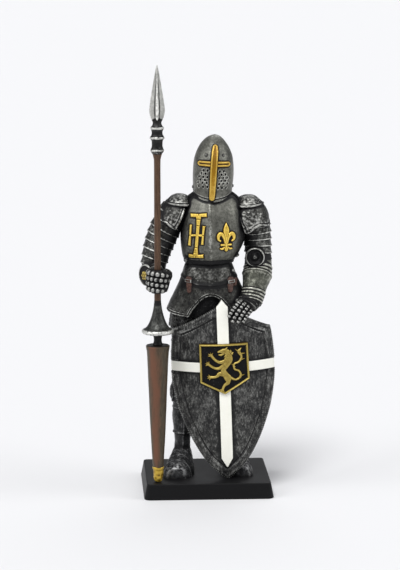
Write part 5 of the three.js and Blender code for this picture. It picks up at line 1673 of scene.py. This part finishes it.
def make_pieces():
    """Every visible piece, as its name, its shells, its paint, its slot and the solid it dresses."""
    plate = pewter_paint("pewter_plate", (0.014, 0.014, 0.013), (0.085, 0.085, 0.078), (0.5, 0.5, 0.47))
    worn = pewter_paint("pewter_worn", (0.014, 0.014, 0.013), (0.1, 0.1, 0.092), (0.5, 0.5, 0.47), 0.06)
    smooth_plate = pewter_paint("pewter_smooth", (0.075, 0.075, 0.065), (0.2, 0.2, 0.174),
                                (0.5, 0.5, 0.46), -0.06)
    olive_plate = pewter_paint("pewter_olive", (0.05, 0.052, 0.042), (0.16, 0.164, 0.132),
                               (0.5, 0.5, 0.44), 0.0)
    # a darker copy of the plate paint for the legs and feet, darker partly as painted shade
    leg = pewter_paint("leg_plate", (0.012, 0.012, 0.013), (0.06, 0.061, 0.062), (0.2, 0.2, 0.2), -0.06)
    mail = pewter_paint("mail_wash", (0.002, 0.002, 0.0022), (0.011, 0.011, 0.011), (0.13, 0.13, 0.125),
                        -0.06, metal=0.4, gloss=0.15)
    beads = pewter_paint("bead_silver", (0.01, 0.01, 0.01), (0.04, 0.04, 0.04), (0.6, 0.6, 0.57), 0.0)
    glove = pewter_paint("glove_silver", (0.01, 0.01, 0.01), (0.035, 0.035, 0.034), (0.36, 0.36, 0.34), 0.0)
    blade = pewter_paint("blade_silver", (0.3, 0.3, 0.28), (0.56, 0.56, 0.53), (0.9, 0.9, 0.86), 0.0,
                         (1, 1, 4), metal=0.35)
    bright_gold = gold_paint("bright_gold", (0.9, 0.66, 0.13), (0.5, 0.29, 0.025))
    helm_gold = gold_paint("helm_gold", (0.66, 0.44, 0.085), (0.34, 0.17, 0.006))
    old_gold = gold_paint("old_gold", (0.46, 0.35, 0.085), (0.17, 0.11, 0.013))
    ferrule_gold = gold_paint("ferrule_gold", (0.52, 0.35, 0.05), (0.3, 0.18, 0.012))
    leather, board = leather_paint(), shield_paint()
    brown = shaft_paint("shaft_brown", (0.045, 0.022, 0.011), (0.12, 0.065, 0.036), (0.09, 0.045, 0.022))
    cone = shaft_paint("cone_brown", (0.04, 0.03, 0.018), (0.085, 0.066, 0.04), (0.13, 0.055, 0.03), 6)
    steel = pewter_paint("guard_steel", (0.012, 0.0125, 0.012), (0.08, 0.082, 0.076), (0.62, 0.62, 0.59))
    return [
        ("helm_skull", [helm_skull()], smooth_plate, "pewter", "knight"),
        ("helm_trim", helm_trim(), smooth_plate, "pewter", "knight"),
        ("helm_cross", [helm_cross()], helm_gold, "pewter", "knight"),
        ("mail_collar", [mail_collar()], mail, "pewter", "knight"),
        ("cuirass", [cuirass()], smooth_plate, "pewter", "knight"),
        ("potent_cross", [potent_cross()], bright_gold, "pewter", "knight"),
        ("lily", [lily()], bright_gold, "pewter", "knight"),
        ("pauldrons", both_pauldrons(pauldron), plate, "pewter", "knight"),
        ("pauldron_collars", both_pauldrons(pauldron_collar), worn, "pewter", "knight"),
        ("upper_arm_left", [upper_arm(UPPER_ARM_LEFT, 1)], plate, "pewter", "knight"),
        ("upper_arm_right", [upper_arm(UPPER_ARM_RIGHT, 1)], worn, "pewter", "knight"),
        ("elbow_cup", [elbow_cup(), round_plate((-25.2, -4.3, 90.7), (-0.8, -0.6, 0), 4.5, 0.3, 1.6)],
         plate, "pewter", "knight"),
        ("elbow_rosette", [rosette((-25.7, -4.7, 90.5), (-0.8, -0.6, 0), 1.65)],
         old_gold, "pewter", "knight"),
        ("elbow_disc", [round_plate((19.7, -5.6, 97.9), (-0.08, -1, 0.05), 3.95, 0.6, 0.35)],
         worn, "pewter", "knight"),
        ("forearm_left", [forearm_left()], plate, "pewter", "knight"),
        ("forearm_right", [forearm_right()], olive_plate, "pewter", "knight"),
        ("fist", fist(), glove, "pewter", "knight"),
        ("open_hand", open_hand(), glove, "pewter", "knight"),
        ("waist_plate", [waist_plate()], worn, "pewter", "knight"),
        ("skirt_plate", [skirt_plate()], plate, "pewter", "knight"),
        ("skirt_rivets", skirt_rivets(), leg, "pewter", "knight"),
        ("straps", [strap(-7.45, 83.9, 89.4, 1.05), strap(9.3, 84.2, 89.0, 1.2),
                    strap(11.2, 86.2, 88.7, 0.8)], leather, "pewter", "knight"),
        ("strap_buckles", [strap_buckle(-7.45, 88.6, 0.9), strap_buckle(9.3, 88.2, 1.05)],
         worn, "pewter", "knight"),
        ("side_buckles", side_buckles(), plate, "pewter", "knight"),
        ("mail_skirt", [mail_skirt()], mail, "pewter", "knight"),
        ("leg_left", [leg_plates(-1)], leg, "pewter", "knight"),
        ("leg_right", [leg_plates(1)], leg, "pewter", "knight"),
        ("knee_wings", [knee_wing(-1), knee_wing(1)], leg, "pewter", "knight"),
        ("feet", [foot(-1), foot(1)], leg, "pewter", "knight"),
        ("shield_board", [shield_board()], board, "shield", "shield"),
        ("shield_plate", [plate_field()], mail, "shield", "shield"),
        ("shield_plate_frame", [plate_frame()], old_gold, "shield", "shield"),
        ("shield_lion", [lion()], old_gold, "shield", "shield"),
        ("lance_cone", [lance_cone()], cone, "lance", "lance"),
        ("lance_ferrule", [lance_ferrule()], ferrule_gold, "lance", "lance"),
        ("lance_guard", [lance_guard()], steel, "lance", "lance"),
        ("lance_shaft", [lance_shaft()], brown, "lance", "lance"),
        ("lance_socket", [lance_socket()], beads, "lance", "lance"),
        ("lance_blade", [lance_blade()], blade, "lance", "lance"),
        ("plinth_block", [plinth_block()], plinth_paint(), "plinth", "plinth"),
    ]


def make_stage():
    """A pale floor, a pale surrounding light and soft lights above and beside the camera."""
    mesh = bpy.data.meshes.new("floor")
    reach = 6.0
    mesh.from_pydata([(-reach, -reach, 0), (reach, -reach, 0), (reach, reach, 0), (-reach, reach, 0)],
                     [], [(0, 1, 2, 3)])
    floor = bpy.data.objects.new("floor", mesh)
    bpy.context.scene.collection.objects.link(floor)
    paint = Paint("floor_paint")
    mesh.materials.append(paint.finish((0.69, 0.69, 0.7, 1), 0.9, specular=0.0))

    world = bpy.data.worlds.new("studio")
    world.use_nodes = True
    nodes, links = world.node_tree.nodes, world.node_tree.links
    glow, backdrop = nodes["Background"], nodes.new("ShaderNodeBackground")
    glow.inputs["Color"].default_value, glow.inputs["Strength"].default_value = (0.93, 0.95, 1, 1), 0.25
    backdrop.inputs["Color"].default_value = (0.82, 0.82, 0.835, 1)
    seen, both = nodes.new("ShaderNodeLightPath"), nodes.new("ShaderNodeMixShader")
    links.new(seen.outputs["Is Camera Ray"], both.inputs[0])
    links.new(glow.outputs[0], both.inputs[1])
    links.new(backdrop.outputs[0], both.inputs[2])
    links.new(both.outputs[0], nodes["World Output"].inputs["Surface"])
    bpy.context.scene.world = world

    suns = [  # name, degrees to the right of the front, degrees up, softness, strength
        ("overhead", -22, 58, 22, 2.2), ("left", -68, 30, 40, 1.1), ("right", 72, 32, 40, 1.0),
        ("behind", 165, 50, 50, 0.8),
    ]
    for name, azimuth, elevation, softness, strength in suns:
        data = bpy.data.lights.new(name, "SUN")
        data.angle, data.energy = math.radians(softness), strength
        light = bpy.data.objects.new(name, data)
        a, e = math.radians(azimuth), math.radians(elevation)
        towards = Vector((math.sin(a) * math.cos(e), -math.cos(a) * math.cos(e), math.sin(e)))
        light.rotation_euler = towards.to_track_quat("Z", "Y").to_euler()
        bpy.context.scene.collection.objects.link(light)
    bpy.context.scene.view_settings.view_transform = "Standard"


def make_camera():
    """The photograph's view: turned a little to the knight's right and ten degrees down."""
    azimuth, elevation, distance = math.radians(-3.2), math.radians(10.0), 1.0
    target = Vector((-2.615, 0, 85.583)) * MM
    back = Vector((math.sin(azimuth) * math.cos(elevation), -math.cos(azimuth) * math.cos(elevation),
                   math.sin(elevation)))
    data = bpy.data.cameras.new("camera")
    data.sensor_width, data.lens = 36.0, 152.75
    camera = bpy.data.objects.new("camera", data)
    camera.location = target + back * distance
    camera.rotation_euler = (-back).to_track_quat("-Z", "Y").to_euler()
    bpy.context.scene.collection.objects.link(camera)
    bpy.context.scene.camera = camera


make_camera()
make_stage()
pieces = make_pieces()
add_crowding([shell for piece in pieces for shell in piece[1]])
for piece in pieces:
    build(*piece)
